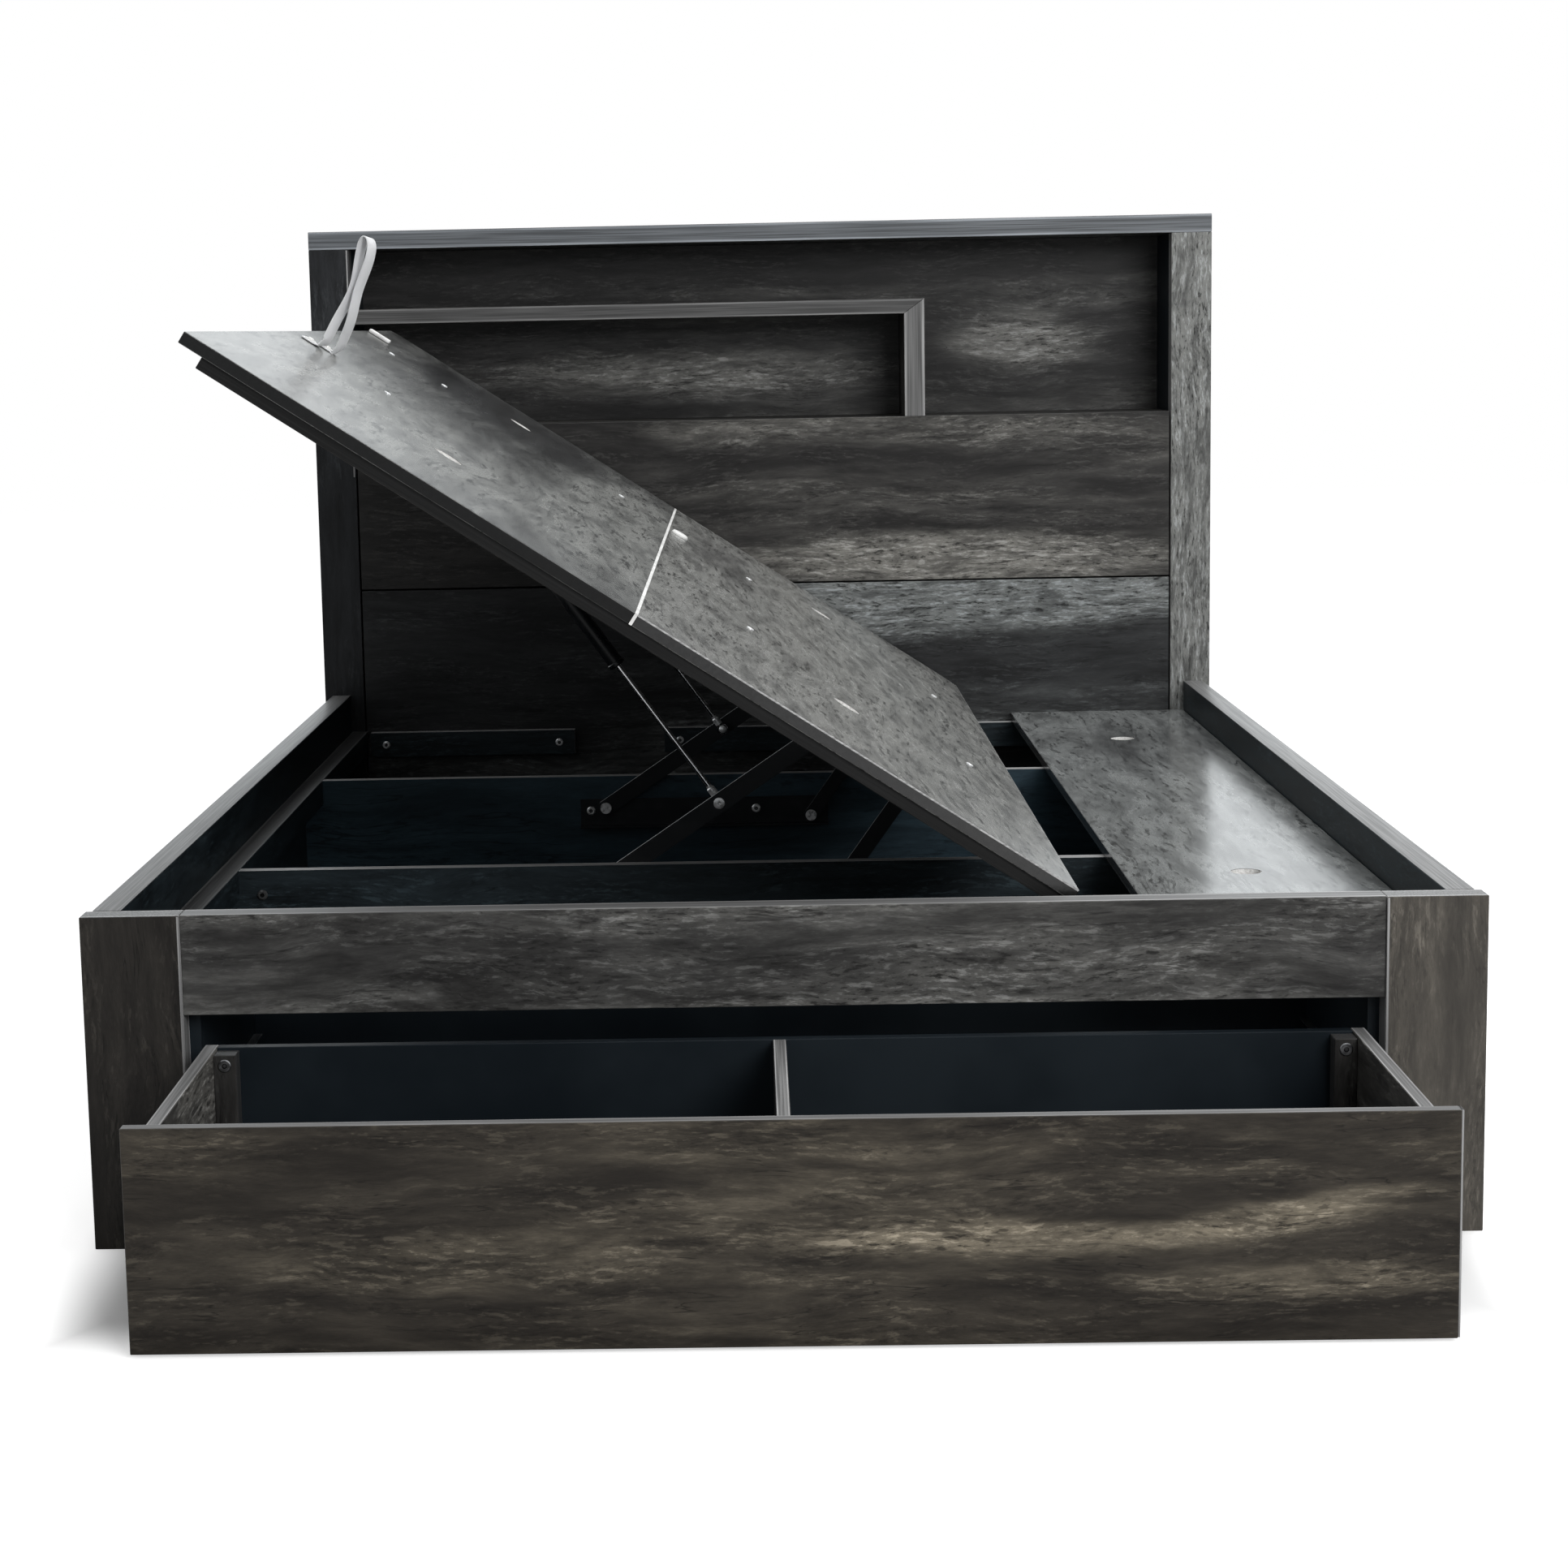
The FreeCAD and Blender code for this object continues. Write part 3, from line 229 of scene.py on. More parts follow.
# %% [markdown]
# ## The oak print
# The boards are melamine: a printed picture of weathered, charcoal-stained oak under a satin skin. The print
# is built from layers of one noise, each stretched along the grain by its own amount. Broad clouds and
# smaller smudges make regions darker or lighter. Flakes of lifted wood show as lit and dark lips, found by
# comparing the flakes with a copy moved a little. Thin dark cracks wander through some zones, a mottle
# breaks up the light regions, and fine fibres cover it all. An image would need a scan of each board and
# UVs for each face. Noise in three dimensions needs neither and never repeats. The layers go into one node
# group, so that every board can use the same print from its own place in it.

# %% Oak print node group
DARK_OAK = (0.0125, 0.0118, 0.0115)
MIDDLE_OAK = (0.033, 0.0318, 0.0308)
LIGHT_OAK = (0.205, 0.199, 0.182)
FLAKE = (0.360, 0.355, 0.335)
CRACK = (0.0045, 0.0042, 0.004)
ROUGH_RANGE = 0.10
SLOW_WAVES, SLOW_REACH = (3.4, 8.0, 8.0), (0.0, 0.050, 0.050)
FAST_WAVES, FAST_REACH = (22.0, 40.0, 40.0), (0.006, 0.0045, 0.0045)
PRINT_LAYERS = {  # name: (waves per metre along and across the grain, place, detail, roughness)
    "clouds": ((1.3, 9.0, 9.0), (0, 0, 0), 3.0, 0.5),
    "smudges": ((5.0, 36.0, 36.0), (0, 0, 0), 6.0, 0.62),
    "zone": ((5.0, 22.0, 22.0), (3, 1, 2), 4.0, 0.6),
    "flakes": ((32.0, 140.0, 140.0), (0, 0, 0), 5.0, 0.66),
    "flakes_moved": ((32.0, 140.0, 140.0), (0.0, 0.30, 0.30), 5.0, 0.66),
    "splits": ((2.6, 60.0, 60.0), (0, 0, 0), 4.0, 0.5),
    "split_zone": ((9, 26, 26), (7, 5, 6), 3.0, 0.5),
    "mottle": ((13.0, 62.0, 62.0), (2, 9, 4), 5.0, 0.65),
    "fibres": ((90, 1100, 1100), (0, 0, 0), 2.0, 0.5),
}
PRINT_SOCKETS = (("Vector", "INPUT", "Vector"), ("Light", "INPUT", "Float"), ("Lips", "INPUT", "Float"),
                 ("Colour", "OUTPUT", "Color"), ("Height", "OUTPUT", "Float"), ("Roughness", "OUTPUT", "Float"))

oak_print = bpy.data.node_groups.new("oak_print", "ShaderNodeTree")
for socket_name, direction, kind in PRINT_SOCKETS:
    oak_print.interface.new_socket(socket_name, in_out=direction, socket_type="NodeSocket" + kind)


def fill_oak_print():
    """Draw the print's nodes: X of the vector runs along the grain, in metres."""
    art = Finish("", oak_print)
    source = oak_print.nodes.new("NodeGroupInput").outputs
    flow = art.bend(art.bend(source["Vector"], SLOW_WAVES, SLOW_REACH), FAST_WAVES, FAST_REACH)
    layer = {name: art.noise(art.scaled(flow, waves, place), 1.0, detail, rough)
             for name, (waves, place, detail, rough) in PRINT_LAYERS.items()}
    smudges = layer["smudges"]
    clouds = art.step(layer["clouds"], 0.40, 0.68)
    mottle = art.step(layer["mottle"], 0.30, 0.68, 0.35, 1.25)
    wanted = art.math("MULTIPLY_ADD", clouds, 0.28, source["Light"])
    share = art.math("MULTIPLY_ADD", art.math("SUBTRACT", smudges, 0.5), 0.7, wanted)
    share = art.times(art.step(share, -0.1, 1.0), mottle)
    tone = art.mix(art.step(smudges, 0.30, 0.72), DARK_OAK, MIDDLE_OAK)
    tone = art.mix(share, tone, LIGHT_OAK)

    zone = art.times(art.step(layer["zone"], 0.40, 0.60), 0.65)
    busy = art.clamp(art.math("MULTIPLY_ADD", share, 0.8, zone))
    relief = art.math("SUBTRACT", layer["flakes"], layer["flakes_moved"])
    lively = art.times(art.math("MULTIPLY_ADD", share, 0.85, 0.12), busy)
    lit = art.times(art.step(relief, 0.03, 0.15), art.times(lively, source["Lips"]))
    tone = art.mix(art.clamp(lit), tone, FLAKE)
    dark = art.times(art.step(relief, -0.04, -0.17), art.math("MULTIPLY_ADD", busy, 0.78, 0.04))
    tone = art.mix(art.clamp(dark), tone, CRACK)

    tone = art.shade(tone, art.step(layer["fibres"], 0.3, 0.7, 0.90, 1.08))
    cracks = art.times(art.thread(layer["splits"], 0.5, 0.014), art.step(layer["split_zone"], 0.50, 0.60))
    tone = art.mix(art.times(cracks, 0.7), tone, CRACK)
    height = art.math("MULTIPLY_ADD", layer["fibres"], 0.2, art.times(cracks, -0.3))
    height = art.math("MULTIPLY_ADD", layer["flakes"], 0.5, height)
    result = oak_print.nodes.new("NodeGroupOutput").inputs
    art.feed(result["Colour"], tone)
    art.feed(result["Height"], height)
    art.feed(result["Roughness"], art.times(smudges, ROUGH_RANGE))


fill_oak_print()
print("oak print has", len(oak_print.nodes), "nodes")

# %% [markdown]
# ## A board cut from the print
# Every board takes the print from another place, turned so that the grain runs along its length. A few soft
# patches make regions lighter or darker: some are lighter or darker print, others are painted light or shade,
# named where they stand. The cut edges carry a plain band with lighter borders, which makes the outlines of
# such furniture look drawn; the lighter borders are partly the band's own tone and partly a painted highlight
# where the edge catches the light. Bands could be modelled one by one, but the surface's own direction already
# tells the faces from the edges, at no cost in faces. The lid's boards are first turned back to the level, so
# that their print lies in the plane of the lid.

# %% Board finishes
LID_ANGLE = math.radians(33.2)
BOARD_THICKNESS = 0.015
lid_low, lid_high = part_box("lid_board_right")
LID_END = Vector((lid_high.x, 0, lid_low.z + BOARD_THICKNESS * math.cos(LID_ANGLE)))
GRAIN_TURNS = {"x": (0, 0, 0), "y": (0, 0, -math.pi / 2), "z": (0, math.pi / 2, 0)}
CALM_OAK = (0.085, 0.085, 0.084)
PRINT_STEP = Vector((1.913, 0.771, 0.437))
EDGE_LINES = (5, 420, 420)
GLOSSY, SATIN_BUMP, GLOSSY_BUMP, BUMP_DEPTH = 0.4, 0.10, 0.03, 0.0006
board_count = 0


def board_light(art, place, light, patches):
    """A board's lightness with its patches: (centre, radii, strength), in metres, and a turn if any."""
    for centre, radii, strength, *turn in patches:
        spot = art.add("Mapping", {"vector_type": "TEXTURE"}, Vector=place, Location=centre, Scale=radii,
                       Rotation=turn[0] if turn else (0, 0, 0))
        ball = art.add("TexGradient", {"gradient_type": "SPHERICAL"}, Vector=spot)
        light = art.math("MULTIPLY_ADD", art.step(ball, 0.0, 0.8), strength, light)
    return light


def rim_lines(art, name, place, face, rim, lid):
    """The band's share in the middle and at the borders, whose lighter tone is partly a painted highlight; on
    the lid only at the upper border.
    """
    low, high = (box["xyz".index(face)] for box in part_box(name))
    middle, half = (low + high) / 2, (high - low) / 2
    if lid:
        half = BOARD_THICKNESS / 2
        middle = (Matrix.Rotation(-LID_ANGLE, 3, "Y") @ LID_END).z - half
    across = art.math("DIVIDE", art.math("SUBTRACT", art.part(place, face.upper()), middle), half)
    return art.step(across if lid else art.math("ABSOLUTE", across), 0.62, 0.85, *rim)


def board_finish(name, grain="x", face="y", light=0.0, band=0.07, tint=(1, 1, 1), patches=(), rough=0.42,
                 gloss=0.16, calm=0.0, lid=False, size=1.0, lips=1.0, rim=(0.70, 1.55), edge_tint=(1, 1, 1)):
    """A melamine board. Band is the tone of its cut edges, and rim its share in their middle and borders; the
    lighter borders are partly a painted highlight.
    Calm fades the print, size enlarges it, and lips is the strength of the flakes' lit lips."""
    global board_count
    board_count += 1
    art = Finish(name)
    place, facing = art.place(), art.place("Normal")
    if lid:
        place, facing = (art.add("VectorRotate", {"rotation_type": "Y_AXIS"}, Vector=vector, Angle=-LID_ANGLE)
                         for vector in (place, facing))
    print_place = art.add("Mapping", Vector=place, Rotation=GRAIN_TURNS[grain],
                          Location=PRINT_STEP * board_count, Scale=(1 / size,) * 3)
    oak = art.node("Group", {"node_tree": oak_print}, Vector=print_place, Lips=lips,
                   Light=board_light(art, place, light, patches)).outputs
    face_colour = art.mix(calm, oak["Colour"], CALM_OAK) if calm else oak["Colour"]
    face_colour = art.mix(1.0, face_colour, tint, "MULTIPLY")
    lines = art.step(art.noise(art.scaled(print_place, EDGE_LINES), 1.0, 3.0), 0.32, 0.68, 0.62, 1.28)
    level = art.times(lines, band)
    if rim and (lid or name in nodes):
        level = art.times(level, rim_lines(art, name, place, face, rim, lid))
    edge = art.step(art.math("ABSOLUTE", art.part(facing, face.upper())), 0.3, 0.8, 1.0, 0.0)
    colour = art.mix(edge, face_colour, art.grey(level, edge_tint))
    roughness = art.math("ADD", oak["Roughness"], rough - ROUGH_RANGE / 2)
    normal = art.bump(oak["Height"], SATIN_BUMP if gloss < GLOSSY else GLOSSY_BUMP, BUMP_DEPTH)
    return art.surface(colour, roughness, normal, Specular_IOR_Level=gloss)


def dress(node_name, material):
    """Give a node of the frame its finish."""
    slots = nodes[node_name].data.materials
    slots.clear()
    slots.append(material)


def dress_boards(title, recipes):
    """Finish every board of a table of recipes."""
    for name, recipe in recipes.items():
        dress(name, board_finish(name, **recipe))
    print(title + ":", len(recipes))


WARM = (1.10, 0.98, 0.80)
COOL = (0.98, 1.0, 1.03)
BROWN = (1.06, 0.98, 0.88)
COLD = (0.95, 1.0, 1.05)
# painted shade: a dark, cool tint for boards that stand in the bed's shade
SHADED = (0.66, 0.98, 1.20)
DEEP = 9.0
print("lid's low end at x", round(LID_END.x, 4), "z", round(LID_END.z, 4))

# %% [markdown]
# ## Headboard boards
# The panels' grain lies flat, the posts' grain stands up. The right-hand post is the lightest board of the
# bed and the left-hand one dark and cool: partly their print, partly painted light from the right and painted
# shade on the left. The two front panels share one broad light region where they meet, and their left parts
# carry painted shade. The back of the niche has painted shade along its top, under the top board, and a
# painted reflection at the right. All recipes stand in one table, so that boards are easy to compare.

# %% Headboard
HEAD_BOARDS = {
    "headboard_upper_panel": dict(light=-0.08, band=0.05, patches=[
        ((0.36, 1.11, 0.630), (0.62, DEEP, 0.075), 1.0),
        ((0.15, 1.11, 0.875), (0.70, DEEP, 0.05), 0.35),
        # painted shade: the upper panel's left part lies in shadow under the raised lid
        ((-0.52, 1.11, 0.70), (0.45, DEEP, 0.35), -0.5)]),
    "headboard_lower_panel": dict(light=-0.20, band=0.05, tint=(0.92, 1.0, 1.08), patches=[
        ((0.38, 1.11, 0.570), (0.62, DEEP, 0.11), 1.45),
        # painted shade: the lower panel's left part lies in shadow
        ((-0.45, 1.11, 0.50), (0.50, DEEP, 0.35), -0.45),
        ((-0.20, 1.11, 0.30), (1.20, DEEP, 0.30), 0.38)]),
    "headboard_back_panel": dict(light=-0.05, band=0.05, tint=COOL, patches=[
        # painted reflection: a bright patch at the right of the niche's back
        ((0.49, 1.3, 1.02), (0.20, DEEP, 0.075), 0.95),
        ((-0.15, 1.3, 0.975), (0.55, DEEP, 0.06), 0.60),
        # painted shade: a dark band along the top of the niche, under the top board
        ((0.0, 1.3, 1.19), (1.4, DEEP, 0.07), -0.9)]),
    "headboard_top": dict(face="z", light=0.05, band=0.185, tint=COLD, edge_tint=(0.93, 1.0, 1.08)),
    "headboard_shelf": dict(face="z", band=0.115),
    "headboard_divider": dict(grain="z", face="x", band=0.195),
    "headboard_niche_floor": dict(face="z", band=0.08),
    # partly painted light: this post's print is lighter, and it is also painted as lit from the right
    "headboard_post_right": dict(grain="z", light=1.15, band=0.30, tint=COLD),
    # partly painted shade: this post's print is darker, and it is also painted darker and cooler as if shaded
    "headboard_post_left": dict(grain="z", light=-0.45, band=0.10, tint=(0.85, 0.95, 1.08)),
    "headboard_side_right": dict(grain="z", face="x", light=0.1, band=0.08),
    "headboard_side_left": dict(grain="z", face="x", light=0.05, band=0.60),
}
dress_boards("headboard boards", HEAD_BOARDS)

# %% [markdown]
# ## Rails, posts and drawer
# The rails' grain runs along the bed and the posts' grain stands up. The foot posts are lighter on the right
# and darker on the left: partly print, partly painted light. The drawer front is warmer than the rest and has
# the liveliest grain, with two long light streaks that rise to the right. Boards inside the bed stand in its
# shade, and their dark, cool tone is painted shade. Boards that are cut alike share a recipe.

# %% Rails, posts and drawer
RAIL = dict(grain="y", face="x", light=0.05, band=0.06)
# painted shade: the rail liners and side cleats stand inside the bed
SHADED_SIDE = dict(RAIL, light=-0.3, tint=SHADED)
LOW_BOARDS = {
    "side_rail_right": RAIL, "side_rail_left": RAIL,
    "side_rail_liner_right": SHADED_SIDE, "side_rail_liner_left": SHADED_SIDE,
    # partly painted light: the right foot post is lighter and the left one darker than their print alone
    "foot_post_right": dict(grain="z", light=0.14, band=0.24, calm=0.35, tint=BROWN),
    "foot_post_left": dict(grain="z", light=-0.52, band=0.26, tint=(0.86, 0.80, 0.72)),
    "front_rail": dict(light=0.16, band=0.24, tint=COOL, patches=[
        ((0.1, -0.9, 0.262), (0.95, DEEP, 0.030), 0.60)]),
    "drawer_front": dict(light=-0.12, band=0.22, tint=WARM, patches=[
        ((0.24, -1.31, 0.118), (0.36, DEEP, 0.035), 0.58),
        ((0.52, -1.31, 0.142), (0.22, DEEP, 0.03), 0.6, (0, -0.14, 0)),
        ((-0.35, -1.31, 0.10), (0.42, DEEP, 0.06), 0.3),
        ((0.55, -1.31, 0.07), (0.25, DEEP, 0.04), 0.35)]),
    "drawer_side_right": dict(grain="y", face="x", light=0.2, band=0.24),
    "drawer_side_left": dict(grain="y", face="x", light=0.25, band=0.24),
    "drawer_divider": dict(grain="y", face="x", light=-0.05, band=0.26),
    "drawer_corner_blocks": dict(grain="z", light=-0.1, band=0.04, rim=None),
}
dress_boards("rails, posts and drawer boards", LOW_BOARDS)

# %% [markdown]
# ## Platform, cleats and cross boards
# The fixed panel and the lid are glossier than the other boards, so they mirror the bright room in one wide
# sheen. A clear coat over the print could give that too; a lower roughness does it with one number. Their
# print is larger and its flakes are faint, because a sheen hides fine print. On the lid's left board two light
# patches add a painted sheen to the mirrored one. The lid's patches are measured along its slope, from its
# low end.

# %% Platform, cleats and cross boards
LID_ZERO = lid_high.x * math.cos(LID_ANGLE) - lid_low.z * math.sin(LID_ANGLE)
PLATFORM_BOARDS = {
    "fixed_platform_panel": dict(
        grain="y", face="z", light=0.66, band=0.06, rough=0.205, gloss=0.69, tint=(1.0, 1.08, 1.17), size=2.0,
        lips=0.10, patches=[((0.62, 0.65, 0), (0.25, 0.50, DEEP), -0.35),
                            ((0.42, -0.05, 0), (0.14, 0.30, DEEP), -0.30)]),
    # painted sheen: the left board's first two patches brighten where it mirrors the room
    "lid_board_left": dict(
        grain="y", face="z", light=0.22, band=0.004, rough=0.26, gloss=0.34, calm=0.1, tint=(1.06, 1.11, 1.16),
        lid=True, size=2.2, lips=0.05, patches=[((LID_ZERO - 1.00, -0.40, 0), (0.50, 0.60, DEEP), 0.45),
                                                ((LID_ZERO - 0.68, 0.10, 0), (0.16, 1.30, DEEP), 0.90),
                                                ((LID_ZERO - 0.95, 0.75, 0), (0.30, 0.40, DEEP), -0.60)]),
    "lid_board_right": dict(
        grain="y", face="z", light=1.00, band=0.014, rough=0.24, gloss=0.65, tint=(1.08, 1.12, 1.17), lid=True,
        # the rim makes the upper border of the cut edge much lighter: partly a painted highlight
        size=1.8, lips=0.22, rim=(0.9, 3.0),
        patches=[((LID_ZERO - 0.50, 0.55, 0), (0.14, 0.50, DEEP), -0.55),
                 ((LID_ZERO - 0.44, -0.45, 0), (0.12, 0.45, DEEP), -0.40),
                 ((LID_ZERO - 0.15, 0.05, 0), (0.10, 0.60, DEEP), -0.30)]),
    "lid_side_battens": dict(face="z", light=-0.1, band=0.008, lid=True, rim=None),
    "lid_end_battens": dict(grain="y", face="z", light=-0.1, band=0.008, lid=True, rim=None),
    # painted shade: cleats and cross boards inside the bed are darkened and cooled
    "headboard_cleats": dict(light=-0.3, band=0.34, tint=SHADED, rim=None),
    "side_cleat_right": SHADED_SIDE, "side_cleat_left": SHADED_SIDE,
    "cross_board_front": dict(light=-0.3, band=0.36, tint=SHADED),
    # painted shade: the rear cross board, deepest in the bed, gets the darkest and bluest tint
    "cross_board_rear": dict(light=-0.36, band=0.36, lips=0.1, size=2.0, tint=(1.1, 2.0, 2.7)),
}
dress_boards("platform, cleats and cross boards", PLATFORM_BOARDS)

# %% [markdown]
# ## The black inner boards
# The inside of the bed is faced with near-black melamine. It isn't one flat colour: the skin has a faint
# pearl structure and slightly duller spots, which only show where light falls across it. Two noises are
# enough for that, a broad one for the spots and a very fine one for the pearl.

# %% Inner boards
INNER_BLACK = (0.0066, 0.0098, 0.0130)
INNER_GREY = (0.0120, 0.0170, 0.0215)
INNER_NODES = ("storage_floor", "floor_battens", "headboard_inner_sides", "drawer_bay_back", "drawer_bay_sides",
               "drawer_bottom", "drawer_back")


def inner_board(name):
    art = Finish(name)
    cloud = art.noise(art.place(), 4.0, 4.0)
    pearl = art.noise(art.place(), 520.0, 2.0)
    colour = art.mix(art.step(cloud, 0.35, 0.7), INNER_BLACK, INNER_GREY)
    roughness = art.step(cloud, 0.3, 0.7, 0.38, 0.52)
    return art.surface(colour, roughness, art.bump(pearl, 0.12, 0.0003), Specular_IOR_Level=0.12)


inner_black = inner_board("inner_black")
for name in INNER_NODES:
    dress(name, inner_black)
print("inner boards:", len(INNER_NODES))

# %% [markdown]
# ## Metal, plastic and raw board
# The lift is powder-coated steel: black with a fine orange-peel skin, and a painted highlight, a lighter tone,
# on the upward faces of each moving bar. The fasteners and pins are zinc, with cloudy patches where the
# plating differs and painted shade in their recesses. That shade could be painted on each bolt, but an ambient
# occlusion node finds every recess by itself. Bolts nearest the foot look duller because they stand in shade,
# so they get a painted darker tone. The rods are hard chrome and the drawer's runners plain zinc sheet. Where
# boards are drilled through, raw chipboard shows: pale chips of wood pressed together, which is just what a
# Voronoi texture draws.

# %% Hardware finishes
# the third tint colours the painted highlight on upward steel faces
STEEL_TINT, WORN_TINT, LIT_TOP_TINT = (0.85, 1.05, 1.3), (1.7, 1.9, 2.2), (0.94, 0.98, 1.0)
RECESS_REACH, RECESS_SHADE = 0.005, (0.012, 0.012, 0.013)
ZINC = (0.86, 0.87, 0.88)


def tinted(level, tint):
    return tuple(level * part for part in tint)


def coated_steel(name, tone, gloss, lit_top=0.0):
    """Powder-coated steel; the last argument is the tone of a painted highlight on the upward faces."""
    art = Finish(name)
    peel = art.noise(art.place(), 900.0, 2.0)
    wear = art.noise(art.place(), 35.0, 4.0)
    colour = art.mix(art.step(wear, 0.5, 0.8), tinted(tone, STEEL_TINT), tinted(tone, WORN_TINT))
    if lit_top:
        # painted highlight: upward faces get a lighter tone, as if lit from above
        facing_up = art.step(art.part(art.place("Normal"), "Z"), 0.5, 0.75)
        colour = art.mix(facing_up, colour, tinted(lit_top, LIT_TOP_TINT))
    return art.surface(colour, art.step(wear, 0.2, 0.8, gloss, gloss + 0.15), art.bump(peel, 0.15, 0.0002),
                       Specular_IOR_Level=0.22)


def plated(name, colour, rough_low, rough_high, stretch=(1, 1, 1), metal=1.0, foot_shade=1.0):
    """Plating with cloudy patches and painted shade in recesses; foot_shade is painted shade nearer the foot.
    """
    art = Finish(name)
    cloud = art.noise(art.scaled(art.place(), stretch), 160.0, 4.0)
    tone = art.mix(art.step(cloud, 0.3, 0.7), tinted(0.72, colour), colour)
    # painted shade: an ambient occlusion node darkens the recesses
    shelter = art.node("AmbientOcclusion", {"samples": 8, "only_local": True}, Distance=RECESS_REACH)
    tone = art.mix(art.step(shelter.outputs["AO"], 0.62, 0.97), RECESS_SHADE, tone)
    # painted shade: pieces nearer the foot end are darkened
    if foot_shade < 1.0:
        tone = art.shade(tone, art.step(art.part(art.place(), "Y"), 0.0, 0.9, foot_shade, 1.0))
    return art.surface(tone, art.step(cloud, 0.25, 0.75, rough_low, rough_high), art.bump(cloud, 0.08, 0.0002),
                       Metallic=metal)


def raw_chipboard(name):
    art = Finish(name)
    chips = art.node("TexVoronoi", Vector=art.place(), Scale=420.0).outputs
    colour = art.mix(art.step(chips["Color"], 0.0, 1.0), (0.70, 0.69, 0.67), (0.93, 0.925, 0.91))
    return art.surface(colour, 0.85, art.bump(chips["Distance"], 0.5, 0.0008))


def pale_plastic(name, low, high):
    art = Finish(name)
    scuff = art.noise(art.place(), 60.0, 5.0)
    colour = art.mix(art.step(scuff, 0.35, 0.7), low, high)
    return art.surface(colour, art.step(scuff, 0.3, 0.7, 0.35, 0.5), art.bump(scuff, 0.05, 0.0004))


black_steel = coated_steel("black_steel", 0.0075, 0.36)
strut_black = coated_steel("strut_black", 0.0040, 0.24)
# painted highlight on the lift arms' upward faces
arm_steel = coated_steel("lift_arm_steel", 0.0060, 0.36, 0.75)
bright_zinc = plated("bright_zinc", ZINC, 0.22, 0.40, metal=0.4)
dull_zinc = plated("dull_zinc", (0.26, 0.26, 0.27), 0.30, 0.45)
# painted shade on the frame bolts nearest the foot
frame_zinc = plated("frame_zinc", ZINC, 0.22, 0.40, metal=0.4, foot_shade=0.10)
runner_steel = plated("runner_steel", (0.52, 0.53, 0.55), 0.3, 0.45, (1, 0.1, 1))
rod_chrome = plated("rod_chrome", (0.80, 0.80, 0.82), 0.08, 0.16, (1, 0.2, 1))
chipboard = raw_chipboard("raw_chipboard")
white_edging = pale_plastic("white_edging", (0.66, 0.66, 0.65), (0.84, 0.84, 0.83))
print("finishes so far:", len(bpy.data.materials))

# %% [markdown]
# ## Dressing the hardware
# Each metal node of the frame gets the finish that its maker would choose for it. One table of finishes
# and names does that, and it shows at a glance which parts are made of the same metal.

# %% Hardware nodes
HARDWARE = (
    (black_steel, "lift_base_rail_front lift_base_rail_rear lid_rail_front lid_rail_rear"),
    (arm_steel, "lift_arm_front lift_arm_rear lift_links"), (strut_black, "gas_strut_tubes"),
    (rod_chrome, "gas_strut_rods"), (frame_zinc, "frame_bolts"), (dull_zinc, "drawer_cam_fittings"),
    (bright_zinc, "lift_base_bolts lift_base_pivots lid_pivots lid_rail_screws"),
    (runner_steel, "drawer_runner_outer drawer_runner_middle drawer_runner_inner"),
    (white_edging, "lid_joint_strip"),
)
for material, names in HARDWARE:
    for name in names.split():
        dress(name, material)
    print(material.name, "on", names)

# %% [markdown]
# ## Building small pieces
# Screws, rings and linings are all turned shapes: a half outline spun about an axis. Blender's screw and
# bevel modifiers could make them, but each would be an object of its own with its own settings. Instead one
# helper spins an outline, another makes a bar with rounded edges, and a third joins several such parts into
# one named piece that rides on a body of the bed.

# %% Helpers for small pieces
SHARP = 35


def add_mesh(name, shape, material, sharp=SHARP):
    """A linked object from a bmesh, smooth up to an angle in degrees."""
    mesh = bpy.data.meshes.new(name)
    shape.to_mesh(mesh)
    shape.free()
    mesh.materials.append(material)
    mesh.shade_smooth()
    mesh.set_sharp_from_angle(angle=math.radians(sharp))
    return link(name, mesh)


def spin(outline, matrix, steps=32, closed=False):
    """An outline of (radius, height) spun about Z: its points, faces and the matrix that places them."""
    points, faces = [], []
    for step in range(steps):
        angle = 2 * math.pi * step / steps
        points += [(radius * math.cos(angle), radius * math.sin(angle), height) for radius, height in outline]
    count = len(outline)
    rows = count if closed else count - 1
    for step in range(steps):
        here, there = step * count, (step + 1) % steps * count
        for row in range(rows):
            after = (row + 1) % count
            faces.append((here + row, there + row, there + after, here + after))
    return points, faces, matrix


def bar(low, high, chamfer, matrix=Matrix()):
    """A thin bar between two corners, with every edge rounded over."""
    shape = bmesh.new()
    bmesh.ops.create_cube(shape, size=1.0)
    low, high = Vector(low), Vector(high)
    for vert in shape.verts:
        vert.co = (low + high) / 2 + vert.co * (high - low)
    bmesh.ops.bevel(shape, geom=shape.edges[:], offset=chamfer, segments=2, profile=0.5, affect="EDGES")
    shape.verts.index_update()
    points = [vert.co.copy() for vert in shape.verts]
    faces = [[vert.index for vert in face.verts] for face in shape.faces]
    shape.free()
    return points, faces, matrix


def make_piece(name, parts, material, body):
    """One named piece from several (points, faces, matrix) parts, riding on a body of the bed."""
    shape = bmesh.new()
    for points, faces, matrix in parts:
        made = [shape.verts.new(matrix @ Vector(point)) for point in points]
        for face in faces:
            shape.faces.new([made[index] for index in dict.fromkeys(face)])
    bmesh.ops.remove_doubles(shape, verts=shape.verts, dist=1e-6)
    bmesh.ops.dissolve_degenerate(shape, edges=shape.edges, dist=1e-7)
    bmesh.ops.recalc_face_normals(shape, faces=shape.faces)
    piece = add_mesh(name, shape, material)
    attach(piece, body)


